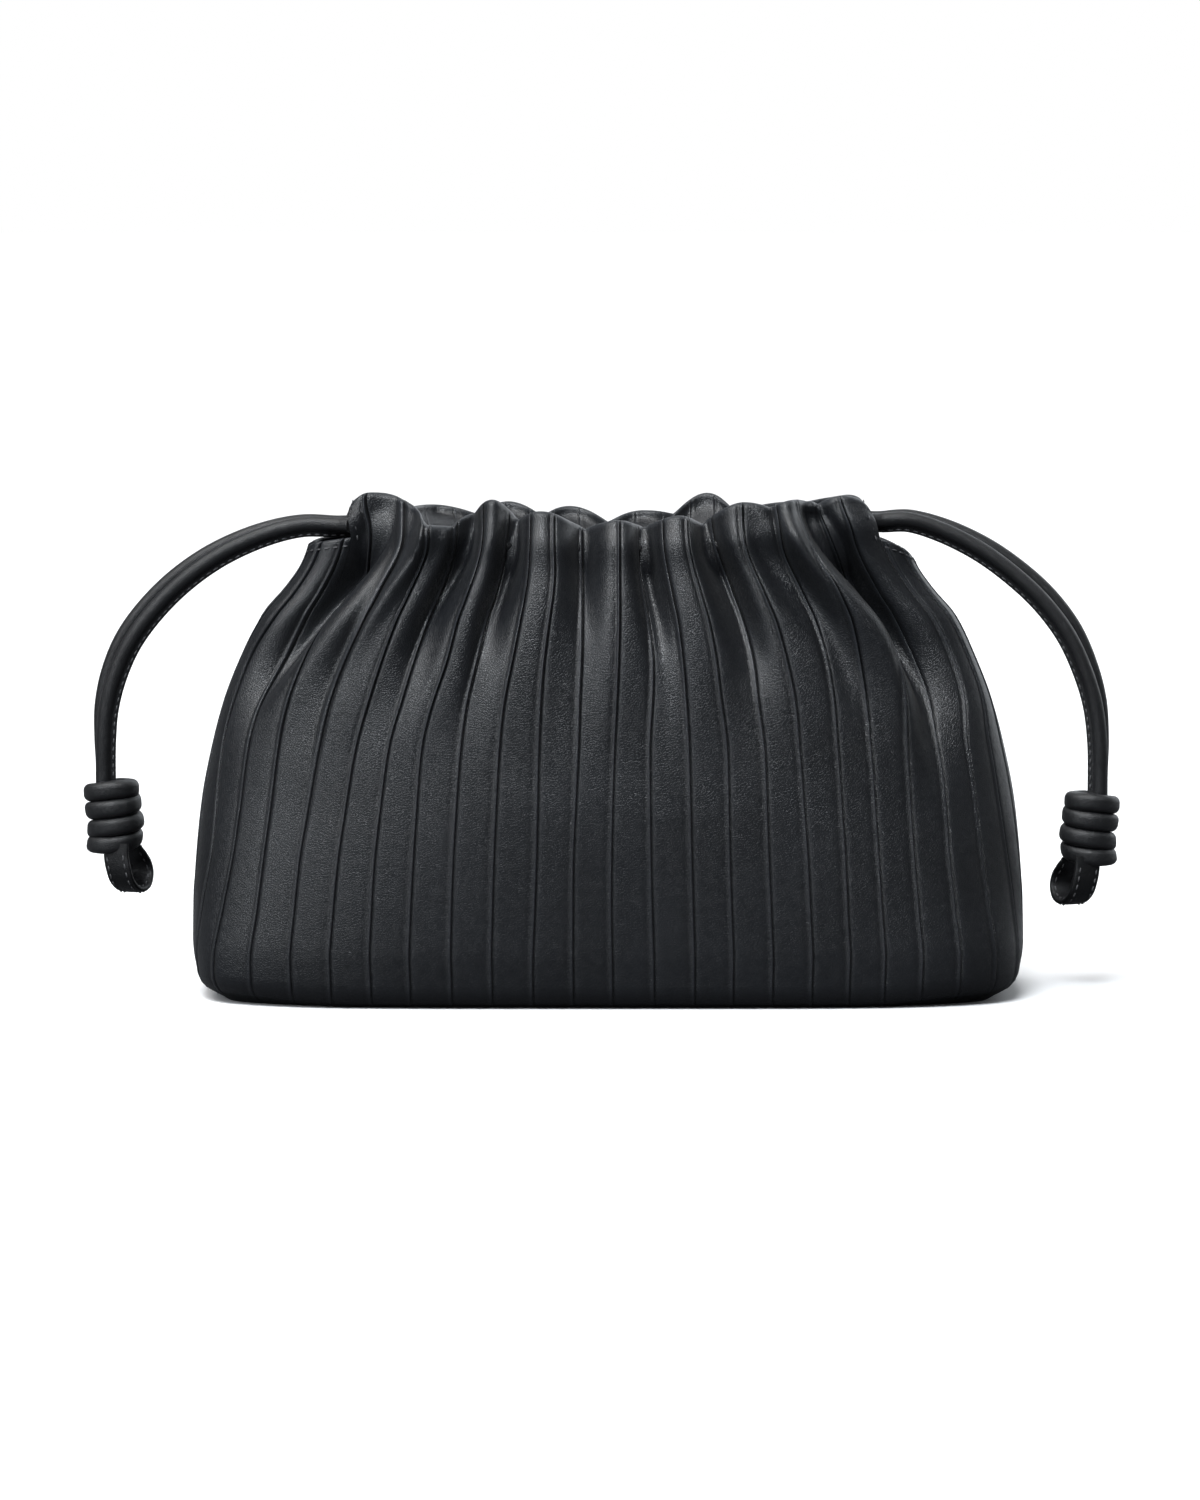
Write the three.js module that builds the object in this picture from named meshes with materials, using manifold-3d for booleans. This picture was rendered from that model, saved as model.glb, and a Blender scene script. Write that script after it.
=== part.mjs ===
// Pleated leather drawstring clutch bag: two gathered panels with a cord casing along the mouth,
// a flat sole, four free cord ends, and a coil knot with an end loop on each side.
// Millimetres, +Z up, the front faces -Y, the origin is the middle of the sole on the floor.
import * as THREE from 'three';
import { mergeVertices } from 'three/addons/utils/BufferGeometryUtils.js';
import Module from 'manifold-3d';

const wasm = await Module();
wasm.setup();

// Bag
const bagWidth = 300;        // widest, a little above the floor
const bagDepth = 106;        // front to back at the foot
const rimHeight = 181;       // floor to the top of the casing at its ends
const leather = 2;           // wall
const footRadius = 9;        // the panels turn under with this radius
const turnUnder = 13;        // width of the turned edge on the underside
const cornerLift = 2.4;      // the soft corners stand this far off the floor
const soleThickness = 2.6;
const seamGap = 0.3;         // between pieces that touch

// Pleats
const pleatCount = 26;       // on each panel, side seam to side seam
const pleatRelief = 0.8;     // the pressed fold stands this proud
const pleatPoints = [0, 0.8, 0.975];   // flat band, rise, fold edge, as shares of a pleat
const pleatHeights = [0, 0, 1];

// Mouth
const gatherDepth = 10;      // a gather's crest over the tight line
const gatherFall = 100;      // gathers run out this far below the rim
const casingHeight = 15;     // folded top edge that holds the cord
const casingLip = 1.6;       // leather round the channel
const cordDiameter = 6;
const cordPlay = 0.7;        // channel beyond the cord, across
const cordDrop = 2.3;        // the cord lies this far under the casing's middle
const mouthSag = 9;          // the mouth's middle is lower than its ends
const hemDrop = 15;          // the side hem is lower than the casing's top
const hemThickness = 2.6;
const hemWidth = 12;         // folded edge of the side hem
const rollDrop = 2.5;        // the casing starts to round over this far below its top
const flapRun = 7;           // the lining tapers from the casing to the wall over this
const cordLead = 6;          // straight run of a free cord at each of its ends
const cordStraight = 4;      // straight run of the drawcord inside each end of the casing
const riseHeight = 8;        // a scallop's top over its cusp

// Knots and loops
const knotDiameter = 21;
const knotTurns = 4;
const turnPitch = 6.5;
const loopDiameter = 6;
const loopDrop = 13;         // knot to the middle of the loop's cord

const casingDepth = 2 * casingLip + cordDiameter + 2 * cordPlay;
const panelSpan = pleatCount;

// Plan outline at each height. height is a share of rimHeight, width of bagWidth, depth of bagDepth;
// square is the outline's exponent, 2 for an ellipse and more for a squarer one.
const outline = [
  { height: 0.05, width: 0.992, depth: 0.985, square: 4.4 },
  { height: 0.11, width: 1.000, depth: 1.000, square: 4.0 },
  { height: 0.21, width: 1.000, depth: 1.000, square: 3.3 },
  { height: 0.38, width: 0.983, depth: 0.980, square: 2.6 },
  { height: 0.49, width: 0.958, depth: 0.940, square: 2.45 },
  { height: 0.59, width: 0.925, depth: 0.885, square: 2.3 },
  { height: 0.68, width: 0.878, depth: 0.815, square: 2.15 },
  { height: 0.76, width: 0.827, depth: 0.730, square: 2.1 },
  { height: 0.81, width: 0.772, depth: 0.665, square: 2.1 },
  { height: 0.86, width: 0.728, depth: 0.590, square: 2.15 },
  { height: 0.92, width: 0.704, depth: 0.515, square: 2.2 },
  { height: 1.04, width: 0.690, depth: 0.450, square: 2.2 },
];

// Gathers of the front, left to right: pleat at the rim, at as a share of the mouth's half width,
// out as a share of gatherDepth, rise as a share of riseHeight, lean in pleats towards the foot.
const frontGathers = [
  { pleat: 0.0, at: -1.000, out: 0.00, rise: 0.0, lean: 0.0 },
  { pleat: 1.6, at: -0.985, out: 0.25, rise: 0.0, lean: 0.0 },
  { pleat: 3.3, at: -0.900, out: 0.00, rise: 0.2, lean: 0.0 },
  { pleat: 4.6, at: -0.790, out: 0.20, rise: 0.5, lean: -0.3 },
  { pleat: 5.3, at: -0.715, out: 0.00, rise: -0.3, lean: -1.6 },
  { pleat: 5.9, at: -0.660, out: 0.80, rise: -0.4, lean: -1.6 },
  { pleat: 6.8, at: -0.555, out: 0.90, rise: -0.35, lean: -1.0 },
  { pleat: 7.5, at: -0.470, out: 0.05, rise: 0.2, lean: -0.5 },
  { pleat: 8.4, at: -0.390, out: 1.00, rise: 0.9, lean: -0.3 },
  { pleat: 9.3, at: -0.315, out: 0.00, rise: 0.2, lean: -0.2 },
  { pleat: 10.5, at: -0.225, out: 0.90, rise: 0.5, lean: -0.1 },
  { pleat: 12.1, at: -0.080, out: 0.00, rise: 0.0, lean: 0.0 },
  { pleat: 12.9, at: 0.030, out: 0.80, rise: 0.15, lean: 0.0 },
  { pleat: 14.3, at: 0.127, out: 0.00, rise: 0.0, lean: 0.1 },
  { pleat: 15.6, at: 0.240, out: 0.90, rise: 0.3, lean: 0.1 },
  { pleat: 16.7, at: 0.328, out: 0.00, rise: 0.1, lean: 0.2 },
  { pleat: 18.0, at: 0.455, out: 0.90, rise: 0.75, lean: 0.4 },
  { pleat: 18.8, at: 0.550, out: 0.15, rise: 0.4, lean: 0.8 },
  { pleat: 19.6, at: 0.610, out: 1.00, rise: 0.6, lean: 1.2 },
  { pleat: 20.5, at: 0.690, out: 0.85, rise: 0.35, lean: 1.6 },
  { pleat: 21.1, at: 0.735, out: 0.00, rise: 0.1, lean: 1.6 },
  { pleat: 22.0, at: 0.800, out: 0.20, rise: 0.3, lean: 0.3 },
  { pleat: 22.8, at: 0.900, out: 0.00, rise: 0.2, lean: 0.0 },
  { pleat: 24.4, at: 0.985, out: 0.25, rise: 0.0, lean: 0.0 },
  { pleat: 26.0, at: 1.000, out: 0.00, rise: 0.0, lean: 0.0 },
];

// The back, seen from behind, left to right.
const backGathers = [
  { pleat: 0.0, at: -1.000, out: 0.00, rise: 0.0, lean: 0.0 },
  { pleat: 1.6, at: -0.985, out: 0.25, rise: 0.0, lean: 0.0 },
  { pleat: 3.3, at: -0.900, out: 0.00, rise: 0.2, lean: 0.0 },
  { pleat: 4.5, at: -0.780, out: 0.30, rise: 0.15, lean: -0.3 },
  { pleat: 5.4, at: -0.700, out: 0.00, rise: 0.1, lean: -1.4 },
  { pleat: 6.6, at: -0.570, out: 1.00, rise: 0.1, lean: -1.2 },
  { pleat: 7.9, at: -0.450, out: 0.00, rise: -0.1, lean: -0.6 },
  { pleat: 9.4, at: -0.340, out: 0.90, rise: 0.8, lean: -0.3 },
  { pleat: 10.6, at: -0.230, out: 0.00, rise: 0.0, lean: -0.1 },
  { pleat: 11.7, at: -0.120, out: 0.90, rise: 0.1, lean: 0.0 },
  { pleat: 13.0, at: 0.000, out: 0.00, rise: -0.3, lean: 0.0 },
  { pleat: 14.3, at: 0.130, out: 0.85, rise: 0.3, lean: 0.1 },
  { pleat: 15.5, at: 0.230, out: 0.00, rise: -0.1, lean: 0.2 },
  { pleat: 16.8, at: 0.340, out: 1.00, rise: 0.4, lean: 0.3 },
  { pleat: 18.1, at: 0.450, out: 0.05, rise: -0.2, lean: 0.6 },
  { pleat: 19.4, at: 0.570, out: 0.90, rise: 0.2, lean: 1.0 },
  { pleat: 20.6, at: 0.690, out: 0.00, rise: -0.1, lean: 1.4 },
  { pleat: 21.7, at: 0.785, out: 0.25, rise: 0.1, lean: 0.3 },
  { pleat: 22.8, at: 0.900, out: 0.00, rise: 0.2, lean: 0.0 },
  { pleat: 24.4, at: 0.985, out: 0.25, rise: 0.0, lean: 0.0 },
  { pleat: 26.0, at: 1.000, out: 0.00, rise: 0.0, lean: 0.0 },
];
const sleeveStart = 3.3;     // pleats at which the casing's two ends lie
const sleeveEnd = 22.8;

// Free cords: x out from the middle, y behind the front, z over the floor, from the sleeve to the knot.
const leftCordRoute = [
  [-110, 4.6, 170.0], [-124, 3.7, 166.5], [-140, 3.5, 159.2], [-153.6, 3.5, 149.6], [-165, 3.5, 138.2],
  [-173.2, 3.5, 126.8], [-178.6, 3.5, 114.6], [-181.6, 3.5, 102.8], [-182.6, 3.5, 91.5],
];
const rightCordRoute = [
  [108, 4.6, 171.4], [120, 3.7, 168.0], [134, 3.5, 161.2], [146, 3.5, 152.6], [157, 3.5, 142.4],
  [166, 3.5, 130.6], [172, 3.5, 118.2], [175.8, 3.5, 105], [176.8, 3.5, 91],
];
// An end loop, outer leg first: across as a share of the room in the knot, down as a share of loopDrop.
const loopRoute = [
  [0.1, 0], [0.1, 0.3], [0.03, 0.64], [-0.35, 1], [-0.95, 0.98], [-1.33, 0.62], [-0.95, 0.22], [-0.95, 0],
];
const leftKnot = { x: -180, z: 64 };
const rightKnot = { x: 175.5, z: 59.5 };

// Tables are read between their rows with a smooth curve.
function readRow(rows, key, value) {
  const keys = Object.keys(rows[0]);
  const last = rows.length - 1;
  const v = Math.min(Math.max(value, rows[0][key]), rows[last][key]);
  let i = 0;
  while (i < last - 1 && rows[i + 1][key] < v) i += 1;
  const low = rows[i];
  const high = rows[i + 1];
  const span = high[key] - low[key];
  const t = (v - low[key]) / span;
  const row = {};
  for (const name of keys) row[name] = low[name] + (high[name] - low[name]) * t;
  return { row, low, high, t, i, span };
}

function smoothRow(rows, key, value) {
  const { row, low, high, t, i, span } = readRow(rows, key, value);
  const before = rows[Math.max(i - 1, 0)];
  const after = rows[Math.min(i + 2, rows.length - 1)];
  for (const name of Object.keys(row)) {
    if (name === key) continue;
    const slope = (high[name] - low[name]) / span;
    const tangent = (a, b) => {
      const rise = b[key] - a[key] > 0 ? (b[name] - a[name]) / (b[key] - a[key]) : slope;
      return Math.sign(rise) === Math.sign(slope)
        ? Math.sign(slope) * Math.min(Math.abs(rise), 3 * Math.abs(slope)) : 0;
    };
    const m0 = tangent(before, high) * span;
    const m1 = tangent(low, after) * span;
    const t2 = t * t;
    const t3 = t2 * t;
    row[name] = (2 * t3 - 3 * t2 + 1) * low[name] + (t3 - 2 * t2 + t) * m0
      + (3 * t2 - 2 * t3) * high[name] + (t3 - t2) * m1;
  }
  return row;
}

function waveRow(rows, key, value) {
  const { row, low, high, t } = readRow(rows, key, value);
  const ease = (1 - Math.cos(Math.PI * t)) / 2;
  for (const name of Object.keys(row)) {
    if (name !== key) row[name] = low[name] + (high[name] - low[name]) * ease;
  }
  return row;
}

function step(from, to, value) {
  const t = Math.min(Math.max((value - from) / (to - from), 0), 1);
  return t * t * (3 - 2 * t);
}

// The front half of the plan outline at a height, as points with their distance from the left seam.
const levelCache = new Map();
function level(height) {
  const key = height.toFixed(3);
  if (levelCache.has(key)) return levelCache.get(key);
  const row = smoothRow(outline, 'height', height / rimHeight);
  const a = row.width * bagWidth / 2;
  const b = row.depth * bagDepth / 2;
  const points = [];
  const steps = 360;
  let length = 0;
  for (let i = 0; i <= steps; i += 1) {
    const angle = -Math.PI + Math.PI * i / steps;
    const c = Math.cos(angle);
    const s = Math.sin(angle);
    const x = a * Math.sign(c) * Math.abs(c) ** (2 / row.square);
    const y = i === 0 || i === steps ? 0 : -b * Math.abs(s) ** (2 / row.square);
    if (i > 0) length += Math.hypot(x - points[i - 1].x, y - points[i - 1].y);
    points.push({ x: i === 0 ? -a : i === steps ? a : x, y, length });
  }
  const found = { points, length, a, b };
  levelCache.set(key, found);
  return found;
}

function onLevel(height, share) {
  const { points, length } = level(height);
  const wanted = Math.min(Math.max(share, 0), 1) * length;
  let low = 0;
  let high = points.length - 1;
  while (high - low > 1) {
    const middle = (low + high) >> 1;
    if (points[middle].length < wanted) low = middle; else high = middle;
  }
  const p = points[low];
  const q = points[high];
  const t = (wanted - p.length) / (q.length - p.length || 1);
  return { x: p.x + (q.x - p.x) * t, y: p.y + (q.y - p.y) * t };
}

function shareAtX(height, x) {
  const { points, length } = level(height);
  for (let i = 1; i < points.length; i += 1) {
    if (points[i].x >= x) {
      const t = (x - points[i - 1].x) / (points[i].x - points[i - 1].x || 1);
      return (points[i - 1].length + (points[i].length - points[i - 1].length) * t) / length;
    }
  }
  return 1;
}

// Where a pleat's line stands on the outline at a height, with the outward direction there.
function place(rows, pleat, height) {
  const rim = smoothRow(rows, 'pleat', pleat);
  const mouth = level(rimHeight);
  const atRim = shareAtX(rimHeight, rim.at * mouth.a);
  const pull = step(0.16 * rimHeight, 0.98 * rimHeight, height);
  const share = (pleat / panelSpan) * (1 - pull) + atRim * pull;
  const p = onLevel(height, share);
  const before = onLevel(height, share - 0.004);
  const after = onLevel(height, share + 0.004);
  let nx = after.y - before.y;
  let ny = before.x - after.x;
  if (pleat <= 0 || pleat >= panelSpan) {
    nx = Math.sign(p.x);
    ny = 0;
  }
  const size = Math.hypot(nx, ny);
  return { x: p.x, y: p.y, nx: nx / size, ny: ny / size };
}

// A fold's reach out of the outline, in mm, at a pleat and height.
function fold(rows, pleat, height) {
  const drop = Math.max(rimHeight - height, 0) / gatherFall;
  const fade = 1 - step(0, 1, drop);
  const lean = waveRow(rows, 'pleat', pleat).lean * Math.min(drop, 1);
  return waveRow(rows, 'pleat', pleat - lean).out * gatherDepth * fade;
}

function casingMiddle(rows, pleat) {
  const across = smoothRow(rows, 'pleat', pleat).at;
  return rimHeight - casingHeight / 2 - mouthSag * (1 - across * across);
}

function place3(spot, out, height) {
  return new THREE.Vector3(spot.x + spot.nx * out, Math.min(spot.y + spot.ny * out, 0) - seamGap / 2, height);
}

// One closed section of a panel, from its turned edge up the outside, over the rim and down the inside.
function section(rows, pleat, relief, hemmed) {
  const at = (height, out) => place3(place(rows, pleat, height), out, height);
  const proud = relief * pleatRelief;
  const outside = (height, extra = 0) => at(height, fold(rows, pleat, height) + proud + extra);
  const inside = (height, depth) => at(height, fold(rows, pleat, height) - depth);
  const middle = casingMiddle(rows, pleat);
  const rise = waveRow(rows, 'pleat', pleat).rise * riseHeight;
  const bottom = middle - casingHeight / 2;
  const hemTop = rimHeight - hemDrop;
  const foot = place(rows, pleat, footRadius);
  const lift = cornerLift * step(0.62, 0.92, Math.abs(foot.x) / (bagWidth / 2));
  const points = [
    place3(foot, -turnUnder, 0),
    place3(foot, -footRadius, lift * 0.5),
    place3(foot, proud - footRadius * (1 - Math.SQRT1_2), footRadius * (1 - Math.SQRT1_2) + lift),
    place3(foot, proud, footRadius + lift),
    outside(0.18 * rimHeight),
    outside(0.37 * rimHeight),
    outside(0.56 * rimHeight),
    outside(0.72 * rimHeight),
    outside(0.84 * rimHeight),
  ];
  if (hemmed) {
    const top = hemTop;
    points.push(
      outside(top - hemWidth * 2 / 3), outside(top - hemWidth / 3), outside(top - hemWidth / 12, -hemWidth / 30),
      at(top, fold(rows, pleat, top) - hemThickness / 2),
      inside(top - hemWidth / 12, hemThickness), inside(top - hemWidth / 3, hemThickness),
      inside(top - hemWidth * 2 / 3, hemThickness), inside(top - hemWidth, leather),
    );
  } else {
    const top = middle + casingHeight / 2 + rise;
    points.push(
      outside(bottom), outside(middle, casingDepth / 18), outside(top - rollDrop, casingDepth / 53),
      at(top, (fold(rows, pleat, top) - casingDepth) / 2),
      at(top - rollDrop, -casingDepth * 0.943), at(middle, -casingDepth), at(bottom, -casingDepth * 0.906),
      inside(bottom - flapRun, leather),
    );
  }
  points.push(
    inside(0.6 * rimHeight, leather),
    inside(0.3 * rimHeight, leather),
    place3(foot, -leather, footRadius + lift),
    place3(foot, -turnUnder, leather),
  );
  return points;
}

function columns() {
  const list = [];
  for (let k = 0; k < pleatCount; k += 1) {
    pleatPoints.forEach((share, i) => list.push({ pleat: k + share, relief: k === 0 && i === 0 ? 0 : pleatHeights[i] }));
  }
  list.push({ pleat: panelSpan, relief: 0 });
  for (const end of [sleeveStart, sleeveEnd]) {
    list.push({ pleat: end - 0.01, relief: 0 }, { pleat: end + 0.01, relief: 0 });
  }
  return list.sort((p, q) => p.pleat - q.pleat);
}

// A closed body through a row of closed sections with equal counts of points.
function loft(sections) {
  const count = sections[0].length;
  const position = [];
  for (const ring of sections) for (const p of ring) position.push(p.x, p.y, p.z);
  const index = [];
  for (let i = 0; i + 1 < sections.length; i += 1) {
    for (let j = 0; j < count; j += 1) {
      const a = i * count + j;
      const b = i * count + (j + 1) % count;
      index.push(a, a + count, b, b, a + count, b + count);
    }
  }
  const cap = (ring, offset, flip) => {
    const side = capSide(ring);
    const flat = ring.map((p) => {
      const along = (p.x - ring[0].x) * side.x + (p.y - ring[0].y) * side.y;
      return new THREE.Vector2(along, p.z);
    });
    const ordered = THREE.ShapeUtils.isClockWise(flat);
    for (const [a, b, c] of THREE.ShapeUtils.triangulateShape(flat, [])) {
      const same = THREE.ShapeUtils.isClockWise([flat[a], flat[b], flat[c]]) === ordered;
      if (same === flip) index.push(offset + a, offset + c, offset + b);
      else index.push(offset + a, offset + b, offset + c);
    }
  };
  cap(sections[0], 0, false);
  cap(sections[sections.length - 1], (sections.length - 1) * count, true);
  const geometry = new THREE.BufferGeometry();
  geometry.setAttribute('position', new THREE.Float32BufferAttribute(position, 3));
  geometry.setIndex(index);
  return geometry;
}

// The level direction in which a section is widest.
function capSide(ring) {
  const reach = (p) => Math.hypot(p.x - ring[0].x, p.y - ring[0].y);
  const far = ring.reduce((best, p) => (reach(p) > reach(best) ? p : best), ring[0]);
  return { x: (far.x - ring[0].x) / reach(far), y: (far.y - ring[0].y) / reach(far) };
}

function volume(geometry) {
  const p = geometry.attributes.position;
  const index = geometry.index.array;
  const a = new THREE.Vector3();
  const b = new THREE.Vector3();
  const c = new THREE.Vector3();
  let sum = 0;
  for (let i = 0; i < index.length; i += 3) {
    a.fromBufferAttribute(p, index[i]);
    b.fromBufferAttribute(p, index[i + 1]);
    c.fromBufferAttribute(p, index[i + 2]);
    sum += a.dot(b.cross(c)) / 6;
  }
  return sum;
}

function facingOut(geometry) {
  if (volume(geometry) >= 0) return geometry;
  const index = geometry.index.array;
  for (let i = 0; i < index.length; i += 3) [index[i + 1], index[i + 2]] = [index[i + 2], index[i + 1]];
  return geometry;
}

function toSolid(geometry) {
  const bare = geometry.clone();
  bare.deleteAttribute('normal');
  bare.deleteAttribute('uv');
  const merged = mergeVertices(bare, 1e-4);
  return new wasm.Manifold(new wasm.Mesh({
    numProp: 3,
    vertProperties: new Float32Array(merged.attributes.position.array),
    triVerts: new Uint32Array(merged.index.array),
  }));
}

function toGeometry(solid) {
  const mesh = solid.getMesh();
  const geometry = new THREE.BufferGeometry();
  geometry.setAttribute('position', new THREE.Float32BufferAttribute(mesh.vertProperties, 3));
  geometry.setIndex(Array.from(mesh.triVerts));
  geometry.computeVertexNormals();
  return geometry;
}

// The channel through the casing: it follows the gathers outside and the cord inside.
function channelSection(rows, pleat) {
  const middle = casingMiddle(rows, pleat);
  const bottom = middle - casingHeight / 2 + casingLip;
  const top = middle + casingHeight / 2 + waveRow(rows, 'pleat', pleat).rise * riseHeight - 1.6 * casingLip;
  const waist = middle - cordDrop;
  const inner = -casingDepth + casingLip;
  const at = (height, out) => place3(place(rows, pleat, height), out, height);
  const outer = (height, extra) => at(height, fold(rows, pleat, height) - casingLip - extra);
  return [outer(bottom, 1), outer(waist, 0), outer(top, 1.4), at(top, inner + 1.4), at(waist, inner), at(bottom, inner + 1)];
}

function channel(rows) {
  const past = 0.25;
  const stops = columns().map((column) => column.pleat).filter((pleat) => pleat > sleeveStart && pleat < sleeveEnd);
  const ends = [sleeveStart - past, ...stops, sleeveEnd + past];
  return facingOut(loft(ends.map((pleat) => channelSection(rows, pleat))));
}

function cordAxis(rows, pleat) {
  const height = casingMiddle(rows, pleat) - cordDrop;
  return place3(place(rows, pleat, height), -casingLip - cordPlay - cordDiameter / 2, height);
}

// Where the cord leaves the casing's end, and its level direction there.
function sleeveMouth(rows, end) {
  const side = end === sleeveEnd ? 1 : -1;
  const spot = place(rows, end, casingMiddle(rows, end) - cordDrop);
  return {
    point: cordAxis(rows, end),
    direction: new THREE.Vector3(-side * spot.ny, side * spot.nx, 0),
  };
}

function panel(rows) {
  const end = [sleeveStart, sleeveEnd];
  const body = facingOut(loft(columns().map(({ pleat, relief }) =>
    section(rows, pleat, relief, pleat < end[0] || pleat > end[1]))));
  return toGeometry(toSolid(body).subtract(toSolid(channel(rows))));
}

function tube(points, diameter, steps, sides = 8) {
  const curve = new THREE.CatmullRomCurve3(points, false, 'centripetal');
  const ring = new THREE.Shape();
  for (let i = 0; i <= sides; i += 1) {
    const angle = 2 * Math.PI * i / sides;
    const x = Math.cos(angle) * diameter / 2;
    const y = Math.sin(angle) * diameter / 2;
    if (i === 0) ring.moveTo(x, y); else if (i < sides) ring.lineTo(x, y);
  }
  ring.closePath();
  return new THREE.ExtrudeGeometry(ring, { steps, extrudePath: curve, bevelEnabled: false });
}

function turned(geometry) {
  return geometry.clone().rotateZ(Math.PI);
}

function drawcord(rows) {
  const ends = [sleeveStart, sleeveEnd].map((end) => sleeveMouth(rows, end));
  const [first, last] = ends.map((end) => [end.point, end.point.clone().addScaledVector(end.direction, -cordStraight)]);
  const points = [...first];
  const spans = 18;
  for (let i = 1; i < spans; i += 1) {
    points.push(cordAxis(rows, sleeveStart + (sleeveEnd - sleeveStart) * i / spans));
  }
  points.push(last[1], last[0]);
  return tube(points, cordDiameter, 18);
}

// The free cord leaves its sleeve, follows its chosen points and ends on top of the knot.
function freeCord(rows, end, route, knot, behind) {
  const turn = behind ? -1 : 1;
  const { point, direction } = sleeveMouth(rows, end);
  const leave = (distance) => point.clone().addScaledVector(direction, distance).multiply(new THREE.Vector3(turn, turn, 1));
  const apart = (y) => -turn * y;
  const top = knot.z + knotTurns * turnPitch / 2 + seamGap;
  const points = [leave(seamGap), leave(cordLead)];
  for (const [x, y, z] of route) points.push(new THREE.Vector3(x, apart(y), z));
  for (const over of [cordLead, 0]) {
    points.push(new THREE.Vector3(knot.x, apart(cordDiameter / 2 + seamGap), top + over));
  }
  return tube(points, cordDiameter, 20);
}

function coilKnot(knot) {
  const profile = [new THREE.Vector2(0, -knotTurns * turnPitch / 2)];
  const radius = knotDiameter / 2;
  const bead = turnPitch / 2;
  for (let i = 0; i < knotTurns; i += 1) {
    const base = -knotTurns * turnPitch / 2 + i * turnPitch;
    profile.push(new THREE.Vector2(radius - bead, base));
    profile.push(new THREE.Vector2(radius - bead * 0.2, base + bead * 0.4));
    profile.push(new THREE.Vector2(radius, base + bead));
    profile.push(new THREE.Vector2(radius - bead * 0.2, base + bead * 1.6));
  }
  profile.push(new THREE.Vector2(radius - bead, knotTurns * turnPitch / 2));
  profile.push(new THREE.Vector2(0, knotTurns * turnPitch / 2));
  const geometry = new THREE.LatheGeometry(profile, 12);
  geometry.rotateX(Math.PI / 2);
  return geometry;
}

function endLoop(knot) {
  const side = Math.sign(knot.x);
  const top = knot.z - knotTurns * turnPitch / 2 - seamGap;
  const reach = (knotDiameter - loopDiameter) / 2;
  const points = loopRoute.map(([across, drop]) =>
    new THREE.Vector3(knot.x + side * across * reach, 0, top - drop * loopDrop));
  return tube(points, loopDiameter, 14);
}

function sole() {
  const inset = turnUnder + seamGap;
  const shape = new THREE.Shape();
  const count = 48;
  for (let i = 0; i < count; i += 1) {
    const half = i < count / 2;
    const spot = place(frontGathers, panelSpan * (half ? i : i - count / 2) / (count / 2), footRadius);
    const sign = half ? 1 : -1;
    const x = sign * (spot.x - spot.nx * inset);
    const y = sign * (spot.y - spot.ny * inset - seamGap / 2);
    if (i === 0) shape.moveTo(x, 0); else shape.lineTo(x, i === count / 2 ? 0 : y);
  }
  shape.closePath();
  return new THREE.ExtrudeGeometry(shape, { depth: soleThickness, bevelEnabled: false });
}

function material(color, roughness) {
  return new THREE.MeshStandardMaterial({ color, roughness, metalness: 0 });
}

const group = new THREE.Group();
function add(name, geometry, finish) {
  const mesh = new THREE.Mesh(geometry, finish);
  mesh.name = name;
  group.add(mesh);
  return mesh;
}

const panelLeather = () => material(0x2a2b2f, 0.5);
const cordLeather = () => material(0x1d1e21, 0.45);

add('front_panel', panel(frontGathers), panelLeather());
add('back_panel', turned(panel(backGathers)), panelLeather());
add('base_panel', sole(), material(0x242528, 0.6));
add('front_drawcord', drawcord(frontGathers), cordLeather());
add('back_drawcord', turned(drawcord(backGathers)), cordLeather());
add('left_cord_front', freeCord(frontGathers, sleeveStart, leftCordRoute, leftKnot, false), cordLeather());
add('right_cord_front', freeCord(frontGathers, sleeveEnd, rightCordRoute, rightKnot, false), cordLeather());
add('left_cord_back', freeCord(backGathers, sleeveEnd, leftCordRoute, leftKnot, true), cordLeather());
add('right_cord_back', freeCord(backGathers, sleeveStart, rightCordRoute, rightKnot, true), cordLeather());
for (const [side, knot] of [['left', leftKnot], ['right', rightKnot]]) {
  add(`${side}_knot`, coilKnot(knot), cordLeather()).position.set(knot.x, 0, knot.z);
  add(`${side}_loop`, endLoop(knot), cordLeather());
}

export default group;
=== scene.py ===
import math

import bmesh
import bpy
import numpy as np
from mathutils import Matrix, Vector
from mathutils.geometry import tessellate_polygon


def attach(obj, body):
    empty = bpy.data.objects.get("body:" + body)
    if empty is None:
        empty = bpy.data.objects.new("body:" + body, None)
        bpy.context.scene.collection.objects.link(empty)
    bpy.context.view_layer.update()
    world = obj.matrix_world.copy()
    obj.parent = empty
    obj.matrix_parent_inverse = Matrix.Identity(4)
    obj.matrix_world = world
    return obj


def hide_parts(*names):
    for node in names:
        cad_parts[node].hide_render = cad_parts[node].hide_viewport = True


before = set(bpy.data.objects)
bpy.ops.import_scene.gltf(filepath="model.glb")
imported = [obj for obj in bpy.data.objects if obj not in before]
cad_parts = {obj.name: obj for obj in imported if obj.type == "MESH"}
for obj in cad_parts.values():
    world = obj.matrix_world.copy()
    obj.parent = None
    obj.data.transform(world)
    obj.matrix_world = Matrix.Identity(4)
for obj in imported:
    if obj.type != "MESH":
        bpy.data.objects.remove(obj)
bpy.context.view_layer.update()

mm = 0.001
halfTurn = (-1, -1, 1)  # carries the front's points to the back
print("clutch bag: frame loaded,", len(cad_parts), "nodes")


def addObject(name, data):
    made = bpy.data.objects.new(name, data)
    bpy.context.scene.collection.objects.link(made)
    return made


def meshFrom(name, points, faces):
    mesh = bpy.data.meshes.new(name)
    mesh.from_pydata((points * mm).tolist(), [], faces)
    return mesh


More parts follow.
